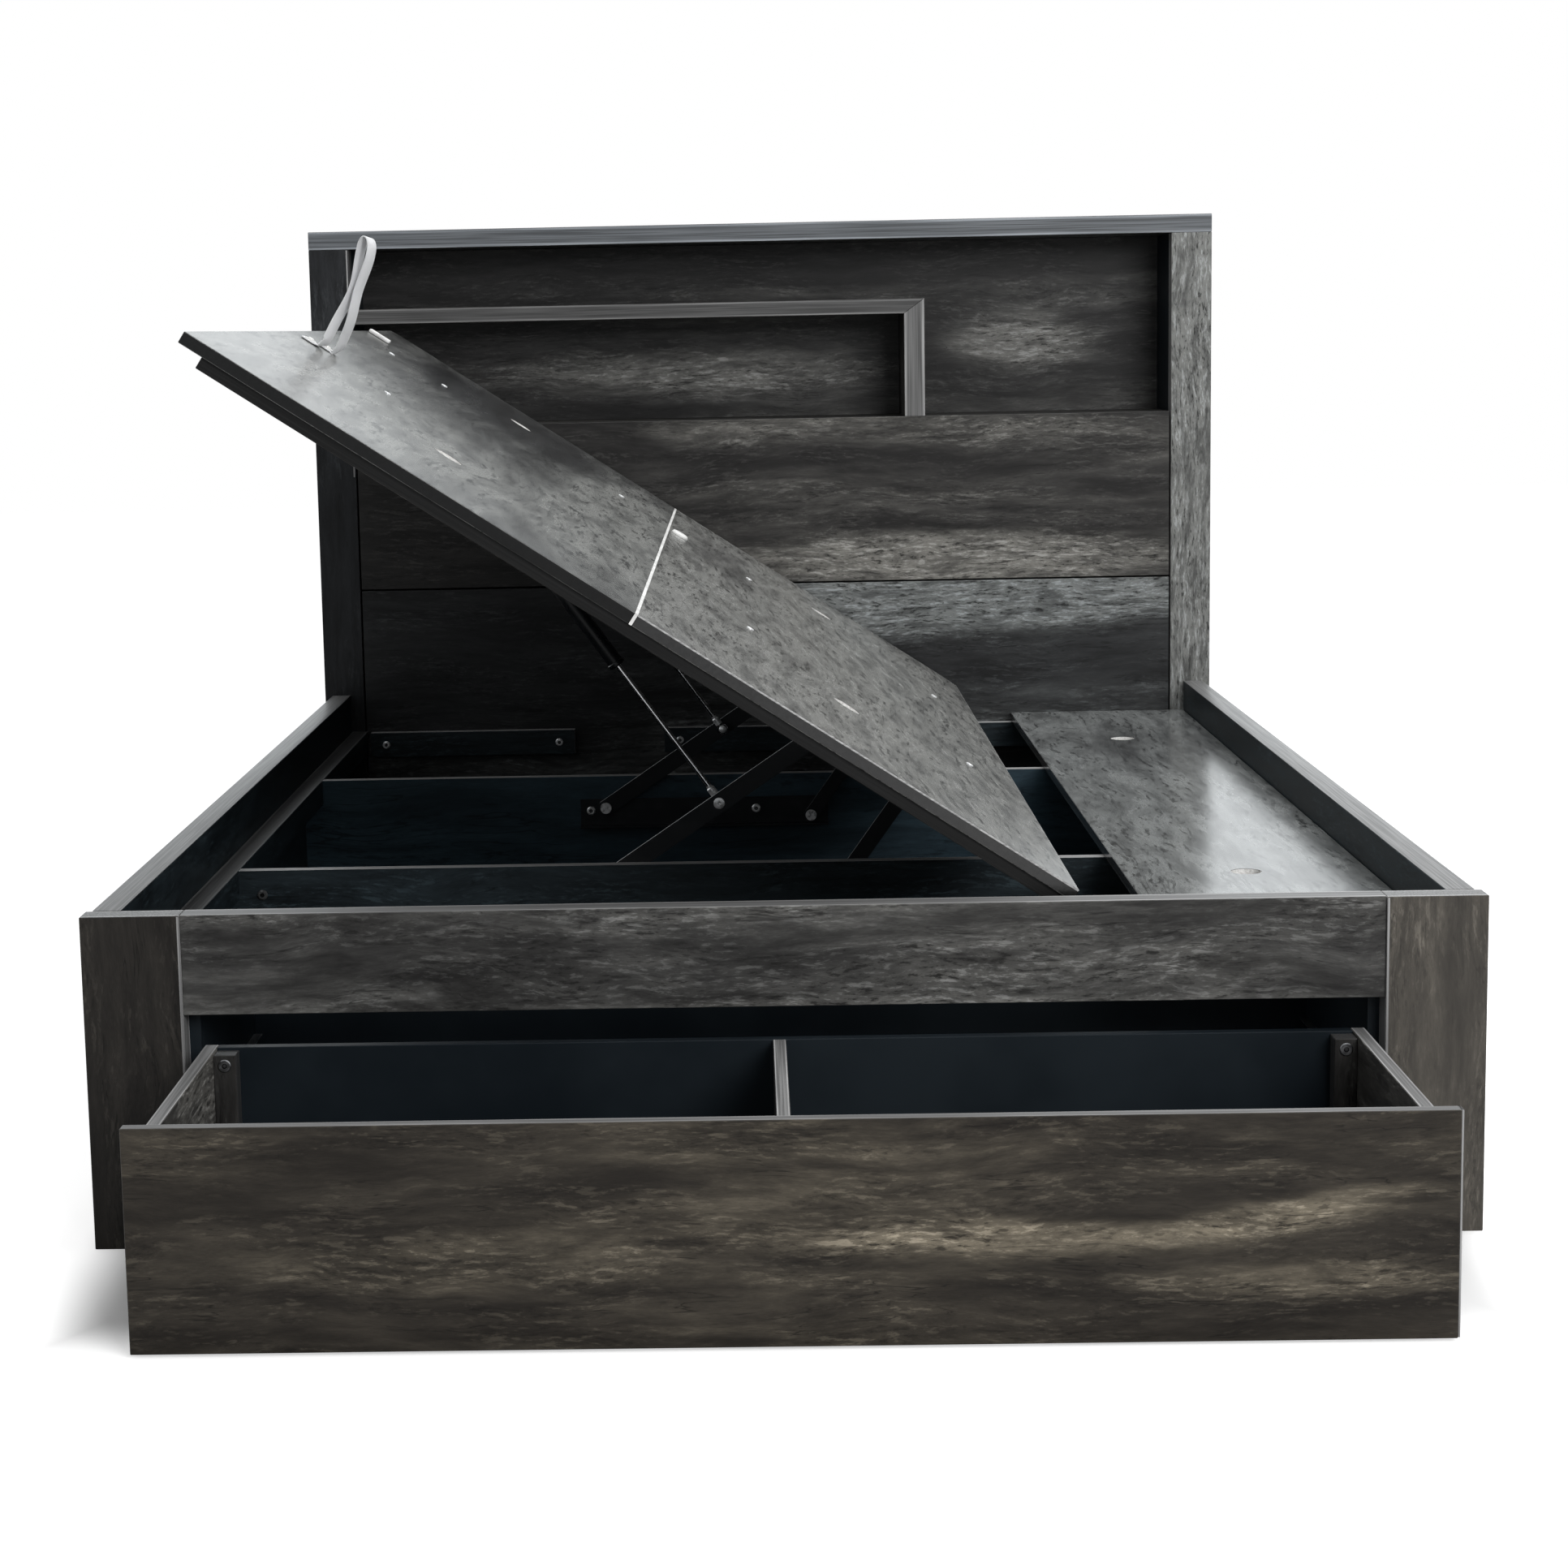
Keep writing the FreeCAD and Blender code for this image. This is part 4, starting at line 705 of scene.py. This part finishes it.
def lid_point(from_end, along_bed, above=0.0):
    """A point of the raised lid: metres from its low end, place along the bed, height over its top."""
    down_slope = Vector((math.cos(LID_ANGLE), 0, -math.sin(LID_ANGLE)))
    out = Vector((math.sin(LID_ANGLE), 0, math.cos(LID_ANGLE)))
    return LID_END + Vector((0, along_bed, 0)) - down_slope * from_end + out * above


def on_lid_top(from_end, along_bed, above=0.0):
    """The matrix that stands a small piece on the lid's top."""
    return Matrix.Translation(lid_point(from_end, along_bed, above)) @ Matrix.Rotation(LID_ANGLE, 4, "Y")


FOOT_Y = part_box("foot_post_left")[0].y
print("foot end of the bed at y", round(FOOT_Y, 4))

# %% [markdown]
# ## The white room
# The photograph was cut out on white, so the room is white to the camera. The glossy boards must mirror a
# bright room as well: the wide sheen on the lid is the room seen over the headboard at a shallow angle.
# More light from the lamps would bring the sheen too, but it would wash out the dark print. So the world is
# brighter to glossy rays, most of all toward the headboard, and plain for diffuse light.

# %% World
WORLD_LEVEL = 0.36
HEAD_GLOSS, FOOT_GLOSS = 1.5, 0.7
GLOSS_TINT = (0.94, 0.98, 1.0)


def make_world():
    world = bpy.data.worlds.new("white_room")
    bpy.context.scene.world = world
    world.use_nodes = True
    art = Finish("", world.node_tree)
    rays = art.node("LightPath").outputs
    glossy = art.math("MAXIMUM", rays["Is Glossy Ray"], rays["Is Transmission Ray"])
    toward_head = art.step(art.part(art.place("Generated"), "Y"), -0.3, 0.5, FOOT_GLOSS, HEAD_GLOSS)
    level = art.math("MULTIPLY_ADD", glossy, art.math("SUBTRACT", toward_head, WORLD_LEVEL), WORLD_LEVEL)
    background = world.node_tree.nodes["Background"].inputs
    art.feed(background["Color"], art.mix(glossy, (1, 1, 1), GLOSS_TINT))
    art.feed(background["Strength"], art.math("MAXIMUM", level, rays["Is Camera Ray"]))
    return world


print("world:", make_world().name)

# %% [markdown]
# ## The floor
# The bed stands on a white studio floor. A shadow catcher could stand in for it, but that needs compositing.
# So it is a real floor: near the bed it is lit only by the lamps, and the bed casts its soft shadow there.
# Farther out it also glows a little to the camera, which lets it fade into the white room.

# %% Floor
FLOOR_HALF = 14.0
FLOOR_GLOW = 0.72


def make_floor():
    corners = [(x * FLOOR_HALF, y * FLOOR_HALF, 0) for x, y in ((-1, -1), (1, -1), (1, 1), (-1, 1))]
    mesh = bpy.data.meshes.new("studio_floor")
    mesh.from_pydata(corners, [], [(0, 1, 2, 3)])
    floor = link("studio_floor", mesh)
    art = Finish("studio_floor")
    speck = art.step(art.noise(art.place(), 3.0, 2.0), 0.3, 0.7)
    art.surface(art.mix(speck, (0.80, 0.80, 0.80), (0.82, 0.82, 0.82)), 0.9, Specular_IOR_Level=0.0)
    reach = [art.math("DIVIDE", art.math("ABSOLUTE", art.part(art.place(), axis)), edge)
             for axis, edge in (("X", cad_high.x), ("Y", cad_high.y))]
    open_floor = art.step(art.math("MAXIMUM", *reach), 0.90, 1.03)
    seen = art.times(art.node("LightPath").outputs["Is Camera Ray"], FLOOR_GLOW)
    art.feed(art.shader.inputs["Emission Color"], (1, 1, 1, 1))
    art.feed(art.shader.inputs["Emission Strength"], art.times(seen, open_floor))
    mesh.materials.append(art.material)
    floor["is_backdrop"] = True
    return floor


print("floor:", make_floor().name)

# %% [markdown]
# ## Two soft lamps
# The light comes softly from the front and from above, as from a window and a white ceiling. Point or spot
# lamps would draw hard shadows that the photograph doesn't show. Two wide rectangles of light give the soft
# ones, each turned toward the middle of the bed.

# %% Lamps
LAMPS = {  # name: (place, target, size, watts)
    "front_softbox": ((2.2, -5.0, 2.6), (0.1, 0.0, 0.5), (2.6, 2.0), 170),
    "high_softbox": ((0.9, 0.4, 4.2), (0.1, 0.2, 0.3), (2.8, 2.8), 130),
}
for name, (place, target, size, watts) in LAMPS.items():
    data = bpy.data.lights.new(name, "AREA")
    data.shape = "RECTANGLE"
    data.size, data.size_y = size
    data.energy = watts
    lamp = link(name, data)
    lamp.location = place
    lamp.rotation_mode = "QUATERNION"
    lamp.rotation_quaternion = (Vector(target) - Vector(place)).to_track_quat("-Z", "Y")
bpy.context.scene.view_settings.view_transform = "Standard"
print("lamps:", len(LAMPS))

# %% [markdown]
# ## The pull strap's line
# A short band of white woven webbing is folded into a loop and screwed to the lid near its high end. Its two
# legs stand apart on the board, nearly touch at a waist and open into a narrow rounded top, and the pair
# twists as it rises. Its line could be drawn by hand as a curve, but then its two legs would have to be kept
# alike by eye. So each station is worked out from its distance to the loop's axis, its turn about that axis
# and its height, and the second leg is the first one turned half round.

# %% Strap line
STRAP_WIDTH, STRAP_THICKNESS = 0.025, 0.002
STRAP_HEIGHT, STRAP_ARCH, STRAP_WAIST, STRAP_SPREAD = 0.150, 0.0085, 0.0040, 0.021
STRAP_TWIST = math.radians(67)
STRAP_FOOT_TURN, STRAP_TOP_TURN = math.radians(-121), math.radians(67 - 270)
ARCH_STRETCH = 2.1
LEG_STEPS, ARCH_STEPS = 30, 18


def smooth_rise(value, low, high):
    share = min(max((value - low) / (high - low), 0.0), 1.0)
    return share * share * (3 - 2 * share)


def strap_line():
    """Stations of the loop, each as (sideways, along the bed, height)."""
    leg, arch = [], []
    for step in range(LEG_STEPS):
        share = step / LEG_STEPS
        apart = STRAP_SPREAD + (STRAP_WAIST - STRAP_SPREAD) * smooth_rise(share, -0.15, 0.62)
        apart += (STRAP_ARCH - STRAP_WAIST) * smooth_rise(share, 0.60, 0.96)
        turn = STRAP_FOOT_TURN + (STRAP_TOP_TURN - STRAP_FOOT_TURN) * smooth_rise(share, 0.05, 0.75)
        leg.append((apart * math.cos(turn), apart * math.sin(turn), STRAP_HEIGHT * share))
    for step in range(ARCH_STEPS + 1):
        angle = math.pi * step / ARCH_STEPS
        reach = STRAP_ARCH * math.cos(angle)
        arch.append((reach * math.cos(STRAP_TOP_TURN), reach * math.sin(STRAP_TOP_TURN),
                     STRAP_HEIGHT + ARCH_STRETCH * STRAP_ARCH * math.sin(angle)))
    return leg + arch + [(-side, -along, height) for side, along, height in reversed(leg)]


print("strap stations:", len(strap_line()))

# %% [markdown]
# ## The strap on the lid
# Webbing is limp but springy: the loop leans and bows a little, most at its foot. Cloth simulation would
# find such a shape for a wide sheet; for one narrow band a parabola is enough. Each leg ends in a tab that
# lies flat on the lid, where its screw goes through. Every station also needs the direction of the band's
# width: along the bed on the tabs, and turned by the strap's twist above them.

# %% Strap on the lid
STRAP_LEAN, STRAP_BOW = math.radians(21), math.radians(9)
STRAP_FROM_END = 1.168
STRAP_Y = FOOT_Y + 0.870
TAB_STEP, TAB_STEPS = 0.006, 5
strap_feet = {side: (STRAP_FROM_END - STRAP_WIDTH / 2 + side * STRAP_SPREAD * math.cos(STRAP_FOOT_TURN),
                     STRAP_Y - side * STRAP_SPREAD * math.sin(STRAP_FOOT_TURN)) for side in (-1, 1)}


def strap_points():
    """The middle line of the whole loop, and the direction of the band's width at each point."""
    across = Vector((math.cos(STRAP_LEAN), 0, -math.sin(STRAP_LEAN)))
    along = Vector((0, 1, 0))
    foot_slope, top_slope = math.tan(STRAP_LEAN + STRAP_BOW), math.tan(STRAP_LEAN - STRAP_BOW)
    flatten = (foot_slope - top_slope) / (2 * STRAP_HEIGHT)
    root = lid_point(STRAP_FROM_END, STRAP_Y) + across * (STRAP_WIDTH / 2)
    line = []
    for side, place, height in strap_line():
        rise = height * math.cos(STRAP_LEAN)
        bow = Vector((foot_slope * rise - flatten * rise * rise, 0, rise))
        line.append(root + along * place + across * side + bow)
    width = [across * math.cos(STRAP_TWIST) + along * math.sin(STRAP_TWIST)] * len(line)
    uphill = Vector((-math.cos(LID_ANGLE), 0, math.sin(LID_ANGLE)))
    tabs = []
    for side in (-1, 1):
        foot = lid_point(*strap_feet[side], STRAP_THICKNESS * 0.8)
        tabs.append([foot + uphill * step * TAB_STEP for step in range(TAB_STEPS, 0, -1)])
    flat = [along] * TAB_STEPS
    return tabs[0] + line[2:-2] + tabs[1][::-1], flat + width[2:-2] + flat


line, width = strap_points()
print("points along the strap:", len(line))

# %% [markdown]
# ## Webbing
# Woven webbing has ribs across the band and fine yarns along it. Modelled threads would take a hundred
# thousand faces and look the same from here. Two wave textures draw them from the band's own UVs instead, so
# the weave follows the strap round its loop.

# %% Webbing finish
WEBBING_HOLLOW, WEBBING_RIB = (0.72, 0.73, 0.75), (0.94, 0.95, 0.97)
WEAVE_SCALE = 40


def webbing_finish(name):
    art = Finish(name)
    place = art.add("UVMap")
    ribs = art.node("TexWave", {"bands_direction": "Y"}, Vector=place, Scale=28.0, Distortion=0.6, Detail=1.0)
    yarns = art.node("TexWave", {"bands_direction": "X"}, Vector=place, Scale=3.2, Distortion=0.3)
    weave = art.math("MULTIPLY_ADD", ribs.outputs["Fac"], 0.6, art.times(yarns.outputs["Fac"], 0.4))
    colour = art.mix(art.step(weave, 0.1, 0.8), WEBBING_HOLLOW, WEBBING_RIB)
    return art.surface(colour, 0.72, art.bump(weave, 0.6, 0.0006), Sheen_Weight=0.3, Sheen_Roughness=0.5)


webbing = webbing_finish("white_webbing")
print("webbing nodes:", len(webbing.node_tree.nodes))

# %% [markdown]
# ## Sweeping the band
# A curve with a bevel would make a band too, but its twist is hard to steer where the loop turns over. So a
# flat outline with softly rounded edges is swept along the line, square to it at each point and turned as
# the webbing turns. The finished strap replaces the frame's plain strap and rides on the lid.

# %% Swept strap
BAND_OUTLINE = ((-1.0, -0.45), (-0.94, -1.0), (0.94, -1.0), (1.0, -0.45), (1.0, 0.45), (0.94, 1.0),
                (-0.94, 1.0), (-1.0, 0.45))
STRAP_SHARP = 50


def sweep_strap(name, material):
    """The swept band, and the length of its line."""
    shape = bmesh.new()
    uv = shape.loops.layers.uv.new("UVMap")
    rings, run = [], [0.0]
    for index, point in enumerate(line):
        tangent = (line[min(index + 1, len(line) - 1)] - line[max(index - 1, 0)]).normalized()
        side = (width[index] - tangent * width[index].dot(tangent)).normalized()
        out = tangent.cross(side)
        rings.append([shape.verts.new(point + side * (STRAP_WIDTH / 2 * a) + out * (STRAP_THICKNESS / 2 * b))
                      for a, b in BAND_OUTLINE])
        if index:
            run.append(run[-1] + (point - line[index - 1]).length)
    for index, (ring, ahead) in enumerate(zip(rings, rings[1:])):
        for place in range(len(BAND_OUTLINE)):
            after = (place + 1) % len(BAND_OUTLINE)
            face = shape.faces.new((ring[place], ahead[place], ahead[after], ring[after]))
            across = [BAND_OUTLINE[corner][0] for corner in (place, place, after, after)]
            along = (run[index], run[index + 1], run[index + 1], run[index])
            for loop, u, v in zip(face.loops, across, along):
                loop[uv].uv = (u * STRAP_WIDTH / 2 * WEAVE_SCALE, v * WEAVE_SCALE)
    shape.faces.new(rings[0])
    shape.faces.new(rings[-1][::-1])
    bmesh.ops.recalc_face_normals(shape, faces=shape.faces)
    return add_mesh(name, shape, material, STRAP_SHARP), run[-1]


strap, strap_length = sweep_strap("pull_strap_webbing", webbing)
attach(strap, "lid")
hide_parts("pull_strap")
print("strap length", round(strap_length, 3), "m")

# %% [markdown]
# ## Vent linings
# Round vents let the mattress breathe: two in the fixed panel, four in the lid's boards and a small one at
# the lid's joint. Drilling shows the board's raw core. The walls of the holes could take a second material,
# but a thin chipboard lining also brings the chamfered lip that catches the light.

# %% Vent linings
VENT_RADIUS, JOINT_VENT_RADIUS = 0.020, 0.010
LINING_WALL, LINING_CLEAR, LINING_LIP = 0.0007, 0.00012, 0.0003
HALF_BOARD, JOINT_GAP = 0.605, 0.004
HEAD_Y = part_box("headboard_upper_panel")[0].y
JOINT_VENT = (HALF_BOARD - 0.020, HEAD_Y - 0.563)
LID_VENTS = [(from_end, y) for from_end in (HALF_BOARD * 0.5, HALF_BOARD * 1.5 + JOINT_GAP)
             for y in (FOOT_Y + 0.481, HEAD_Y - 0.327)]


def vent_lining(radius):
    """The closed outline of a ring just inside a vent, hung from the board's top."""
    outer, foot = radius - LINING_CLEAR, LINING_LIP - BOARD_THICKNESS
    inner = outer - LINING_WALL
    return [(inner, foot), (outer, foot), (outer, -2 * LINING_LIP), (inner, -LINING_LIP)]


rings = [spin(vent_lining(VENT_RADIUS), on_lid_top(*vent), 48, True) for vent in LID_VENTS]
rings.append(spin(vent_lining(JOINT_VENT_RADIUS), on_lid_top(*JOINT_VENT), 32, True))
make_piece("lid_vent_linings", rings, chipboard, "lid")
panel_low, panel_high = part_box("fixed_platform_panel")
places = [Vector(((panel_low.x + panel_high.x) / 2, y, panel_high.z)) for y in (FOOT_Y + 0.442, HEAD_Y - 0.368)]
rings = [spin(vent_lining(VENT_RADIUS), Matrix.Translation(place), 48, True) for place in places]
make_piece("panel_vent_linings", rings, chipboard, "frame")
print("vents lined:", len(LID_VENTS) + 1 + len(places))

# %% [markdown]
# ## Edge bands
# A maker irons a thin plastic band over every cut edge. Most boards' finish shows it well enough, but some
# bands catch the light as a line of their own: on the rails' tops, down the foot posts' inner borders, at
# the drawer front's right end and beside the headboard's recess. They are thin bars with rounded edges. The
# strips down the foot posts are partly the band's pale tone and partly a painted highlight; the strip beside
# the recess is a painted highlight of the lit inner edge.

# %% Edge bands
BAND_THICKNESS, THIN_CHAMFER, BAND_OUT = 0.0005, 0.00015, 0.0004
END_GAP, POST_BAND, DRAWER_BAND = 0.001, 0.0028, 0.0022
RECESS_HIGHLIGHT, RECESS_HIGHLIGHT_FOOT = (0.0046, 0.0018), 0.80
rail_band = board_finish("rail_edge_band", grain="y", face="x", band=0.17, gloss=0.4)
for side in ("left", "right"):
    outer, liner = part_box("side_rail_" + side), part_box("side_rail_liner_" + side)
    low = (min(outer[0].x, liner[0].x) + BAND_OUT, outer[0].y, outer[1].z)
    high = (max(outer[1].x, liner[1].x) - BAND_OUT, outer[1].y, outer[1].z + BAND_THICKNESS)
    make_piece("rail_top_band_" + side, [bar(low, high, BAND_THICKNESS * 0.45)], rail_band, "frame")
pale_band = board_finish("pale_edge_band", grain="z", face="z", band=0.26)
strips = []
# partly painted highlight: pale strips down the foot posts' inner borders
for side, inner, outward in (("left", 1, -1), ("right", 0, 1)):
    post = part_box("foot_post_" + side)
    near, far = sorted((post[inner].x, post[inner].x + outward * POST_BAND))
    strips.append(bar((near, post[0].y - BAND_OUT, post[0].z + END_GAP), (far, post[0].y, post[1].z - END_GAP),
                      THIN_CHAMFER))
make_piece("foot_post_inner_bands", strips, pale_band, "frame")
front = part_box("drawer_front")
end = bar((front[1].x, front[0].y + 0.0003, front[0].z + END_GAP),
          (front[1].x + DRAWER_BAND, front[1].y, front[1].z), 0.0004)
make_piece("drawer_front_end_band", [end], pale_band, "drawer")
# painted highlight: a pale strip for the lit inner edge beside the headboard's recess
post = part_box("headboard_post_left")
strip = bar((post[1].x - RECESS_HIGHLIGHT[0], post[0].y - BAND_OUT, RECESS_HIGHLIGHT_FOOT),
            (post[1].x - RECESS_HIGHLIGHT[1], post[0].y, post[1].z - END_GAP), THIN_CHAMFER)
make_piece("recess_edge_highlight", [strip], pale_band, "frame")
print("edge bands:", 2 + len(strips) + 2)

# %% [markdown]
# ## The lid's painted edge highlights
# Along the lid's foot end and its low end, the upper border of the cut edge shows as a fine light line: a
# painted highlight where the edge catches the light. The boards' finish draws such borders too, but these two
# are so fine that they would blur. So they are very thin pale bars in the lid's own slope.

# %% Lid lips
LIP_DEPTH, LIP_TOP, LIP_CHAMFER, HALF_LID = 0.0021, 0.0002, 0.00012, 0.302
# painted highlight: the finish of the pale bars along the lid's upper edges
lip_highlight = board_finish("lip_highlight_band", grain="x", face="x", band=0.42)
half_length = (lid_high.y - lid_low.y) / 2 - END_GAP
foot_lip = bar((-HALF_LID, -BAND_OUT, -LIP_DEPTH), (HALF_LID, 0.0, -LIP_TOP), LIP_CHAMFER,
               on_lid_top(HALF_LID + 0.0005, lid_low.y))
low_lip = bar((0.0, -half_length, -LIP_DEPTH), (BAND_OUT, half_length, -LIP_TOP), LIP_CHAMFER,
              on_lid_top(0.0, (lid_low.y + lid_high.y) / 2))
make_piece("lid_edge_highlights", [foot_lip, low_lip], lip_highlight, "lid")
print("low lip", round(2 * half_length, 3), "m long")

# %% [markdown]
# ## Screws on the lid
# The lid's boards are screwed to the rails and battens from above, with low zinc heads. The strap's ends are
# held by pale screws with wide washers, so that the webbing doesn't tear. Only the heads are made, because
# the boards hide the threads, and a conical recess reads as a drive of any kind at this size.

# %% Screws
LID_SCREWS = [(1.141, 1.518), (1.043, 1.540), (1.050, 0.812), (0.700, 1.560), (0.450, 0.700), (0.450, 1.500),
              (0.090, 0.720), (0.090, 1.480)]  # metres from the lid's low end and from the bed's foot end
LID_HEAD, STRAP_HEAD = (0.0055, 0.0014), (0.0052, 0.0022)  # radius, height
WASHER = (0.003, 0.009, 0.0012)  # hole, radius, height
TAB_SCREW_UPHILL, TAB_LEVEL = 0.018, STRAP_THICKNESS * 1.3


def screw_head(radius, height):
    """A low domed head with a conical drive recess."""
    return [(0.0, height * 0.45), (radius * 0.18, height * 0.45), (radius * 0.45, height * 0.92),
            (radius * 0.72, height * 0.97), (radius * 0.93, height * 0.62), (radius, height * 0.12),
            (radius, 0.0), (0.0, 0.0)]


def washer(inner, outer, height):
    return [(inner, 0.0), (outer, 0.0), (outer, height * 0.7), (outer - height * 0.3, height), (inner, height)]


heads = [spin(screw_head(*LID_HEAD), on_lid_top(from_end, FOOT_Y + y), 24) for from_end, y in LID_SCREWS]
make_piece("lid_top_screws", heads, bright_zinc, "lid")
parts = []
for from_end, y in strap_feet.values():
    uphill = from_end + TAB_SCREW_UPHILL
    parts.append(spin(washer(*WASHER), on_lid_top(uphill, y, TAB_LEVEL)))
    parts.append(spin(screw_head(*STRAP_HEAD), on_lid_top(uphill, y, TAB_LEVEL + WASHER[2]), 24))
make_piece("strap_screws", parts, white_edging, "lid")
print("screws on the lid:", len(LID_SCREWS) + len(strap_feet))

# %% [markdown]
# ## Plug and pad
# A white plastic plug closes the small vent at the lid's joint: a domed cap over a stem that grips the vent.
# A small white pad lies near the lid's high corner. The plug is turned and the pad is a rounded bar, so the
# helpers for small pieces serve for both.

# %% Plug and pad
PLUG = (0.0150, 0.0062, 0.0088, 0.012)  # radius, height, stem's radius and depth
PAD_HALF, PAD_CHAMFER = (0.0200, 0.008, 0.0065), 0.0024
PAD_PLACE = (1.190, FOOT_Y + 1.682)


def plug(radius, height, stem, depth):
    return [(0.0, height), (radius * 0.62, height * 0.97), (radius * 0.86, height * 0.8),
            (radius * 0.97, height * 0.5), (radius, height * 0.12), (radius * 0.98, 0.0), (stem, 0.0),
            (stem, 0.002 - depth), (stem * 0.85, -depth), (0.0, -depth)]


make_piece("lid_joint_vent_plug", [spin(plug(*PLUG), on_lid_top(*JOINT_VENT), 40)], white_edging, "lid")
pad = bar((-PAD_HALF[0], -PAD_HALF[1], 0.0), PAD_HALF, PAD_CHAMFER, on_lid_top(*PAD_PLACE))
make_piece("lid_bumper_pad", [pad], white_edging, "lid")
print("plug", 2 * PLUG[0], "m wide, pad", 2 * PAD_HALF[0], "m long")

# %% [markdown]
# ## The struts' ends
# Each gas strut ends in an eye on a pin. The rod screws into its eye through a plated sleeve, a rolled gland
# ring closes the tube, and each pin has a domed cap on the eye and a flat rivet head on the arm's other
# side: flat, because the arm folds against its rail. Typed places would drift when the frame changes, so
# the pins are measured from the boxes of the rods and the tubes.

# %% Strut fittings
EYE_RADIUS, EYE_HALF, TUBE_RADIUS, TUBE_REACH = 0.009, 0.005, 0.011, 0.276
GLAND, SLEEVE = (TUBE_RADIUS + 0.00005, 0.0121, 0.006), (0.00405, 0.0058, 0.016)  # hole, radius, length
CAP, RIVET = (0.0062, 0.0030), (0.0078, 0.0013)  # radius, height
TO_FOOT, TO_HEAD = Matrix.Rotation(math.pi / 2, 4, "X"), Matrix.Rotation(-math.pi / 2, 4, "X")
rod_box, tube_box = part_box("gas_strut_rods"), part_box("gas_strut_tubes")
low_pin = Vector((rod_box[1].x - EYE_RADIUS, 0, rod_box[0].z + EYE_RADIUS))
high_pin = Vector((tube_box[0].x + EYE_RADIUS, 0, tube_box[1].z - EYE_RADIUS))
strut_line = (high_pin - low_pin).normalized()
strut_turn = Matrix.Rotation(math.atan2(strut_line.x, strut_line.z), 4, "Y")
gland_reach = strut_line * ((high_pin - low_pin).length - TUBE_REACH + 0.002)
sleeve_reach = strut_line * (EYE_RADIUS + 0.0006)


def rivet_head(radius, height):
    """A flat head with a rolled rim and a small dimple."""
    return [(0.0, height * 0.45), (radius * 0.22, height * 0.6), (radius * 0.30, height),
            (radius * 0.80, height), (radius * 0.95, height * 0.75), (radius, height * 0.35), (radius, 0.0),
            (0.0, 0.0)]


def domed_cap(radius, height):
    angles = [step * math.pi / 12 for step in range(7)]
    return [(radius * math.sin(angle), height * math.cos(angle)) for angle in angles] + [(0.0, 0.0)]


glands, sleeves, caps = [], [], []
for layer, out, turn in ((tube_box[0].y + TUBE_RADIUS, 1, TO_HEAD), (tube_box[1].y - TUBE_RADIUS, -1, TO_FOOT)):
    pin = low_pin + Vector((0, layer, 0))
    glands.append(spin(washer(*GLAND), Matrix.Translation(pin + gland_reach) @ strut_turn, 40, True))
    sleeves.append(spin(washer(*SLEEVE), Matrix.Translation(pin + sleeve_reach) @ strut_turn, 32, True))
    caps.append(spin(domed_cap(*CAP), Matrix.Translation(pin + Vector((0, out * EYE_HALF, 0))) @ turn, 24))
make_piece("strut_gland_rings", glands, strut_black, "strut_tubes")
make_piece("strut_rod_sleeves", sleeves, bright_zinc, "strut_rods")
make_piece("strut_eye_caps", caps, bright_zinc, "strut_rods")
rivets = []
for name, side, turn in (("lift_arm_front", 0, TO_FOOT), ("lift_arm_rear", 1, TO_HEAD)):
    place = Vector((low_pin.x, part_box(name)[side].y, low_pin.z))
    rivets.append(spin(rivet_head(*RIVET), Matrix.Translation(place) @ turn, 40))
make_piece("strut_pin_rivets", rivets, bright_zinc, "lift_arms")
print("strut fittings:", len(glands) + len(sleeves) + len(caps) + len(rivets))

# %% [markdown]
# ## Measuring the dressed bed
# The dressed bed must stay as large as the solids. A render doesn't show a millimetre too much, so the dressed
# bed's box is measured again.

# %% Measure the dressed bed's box
low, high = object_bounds()
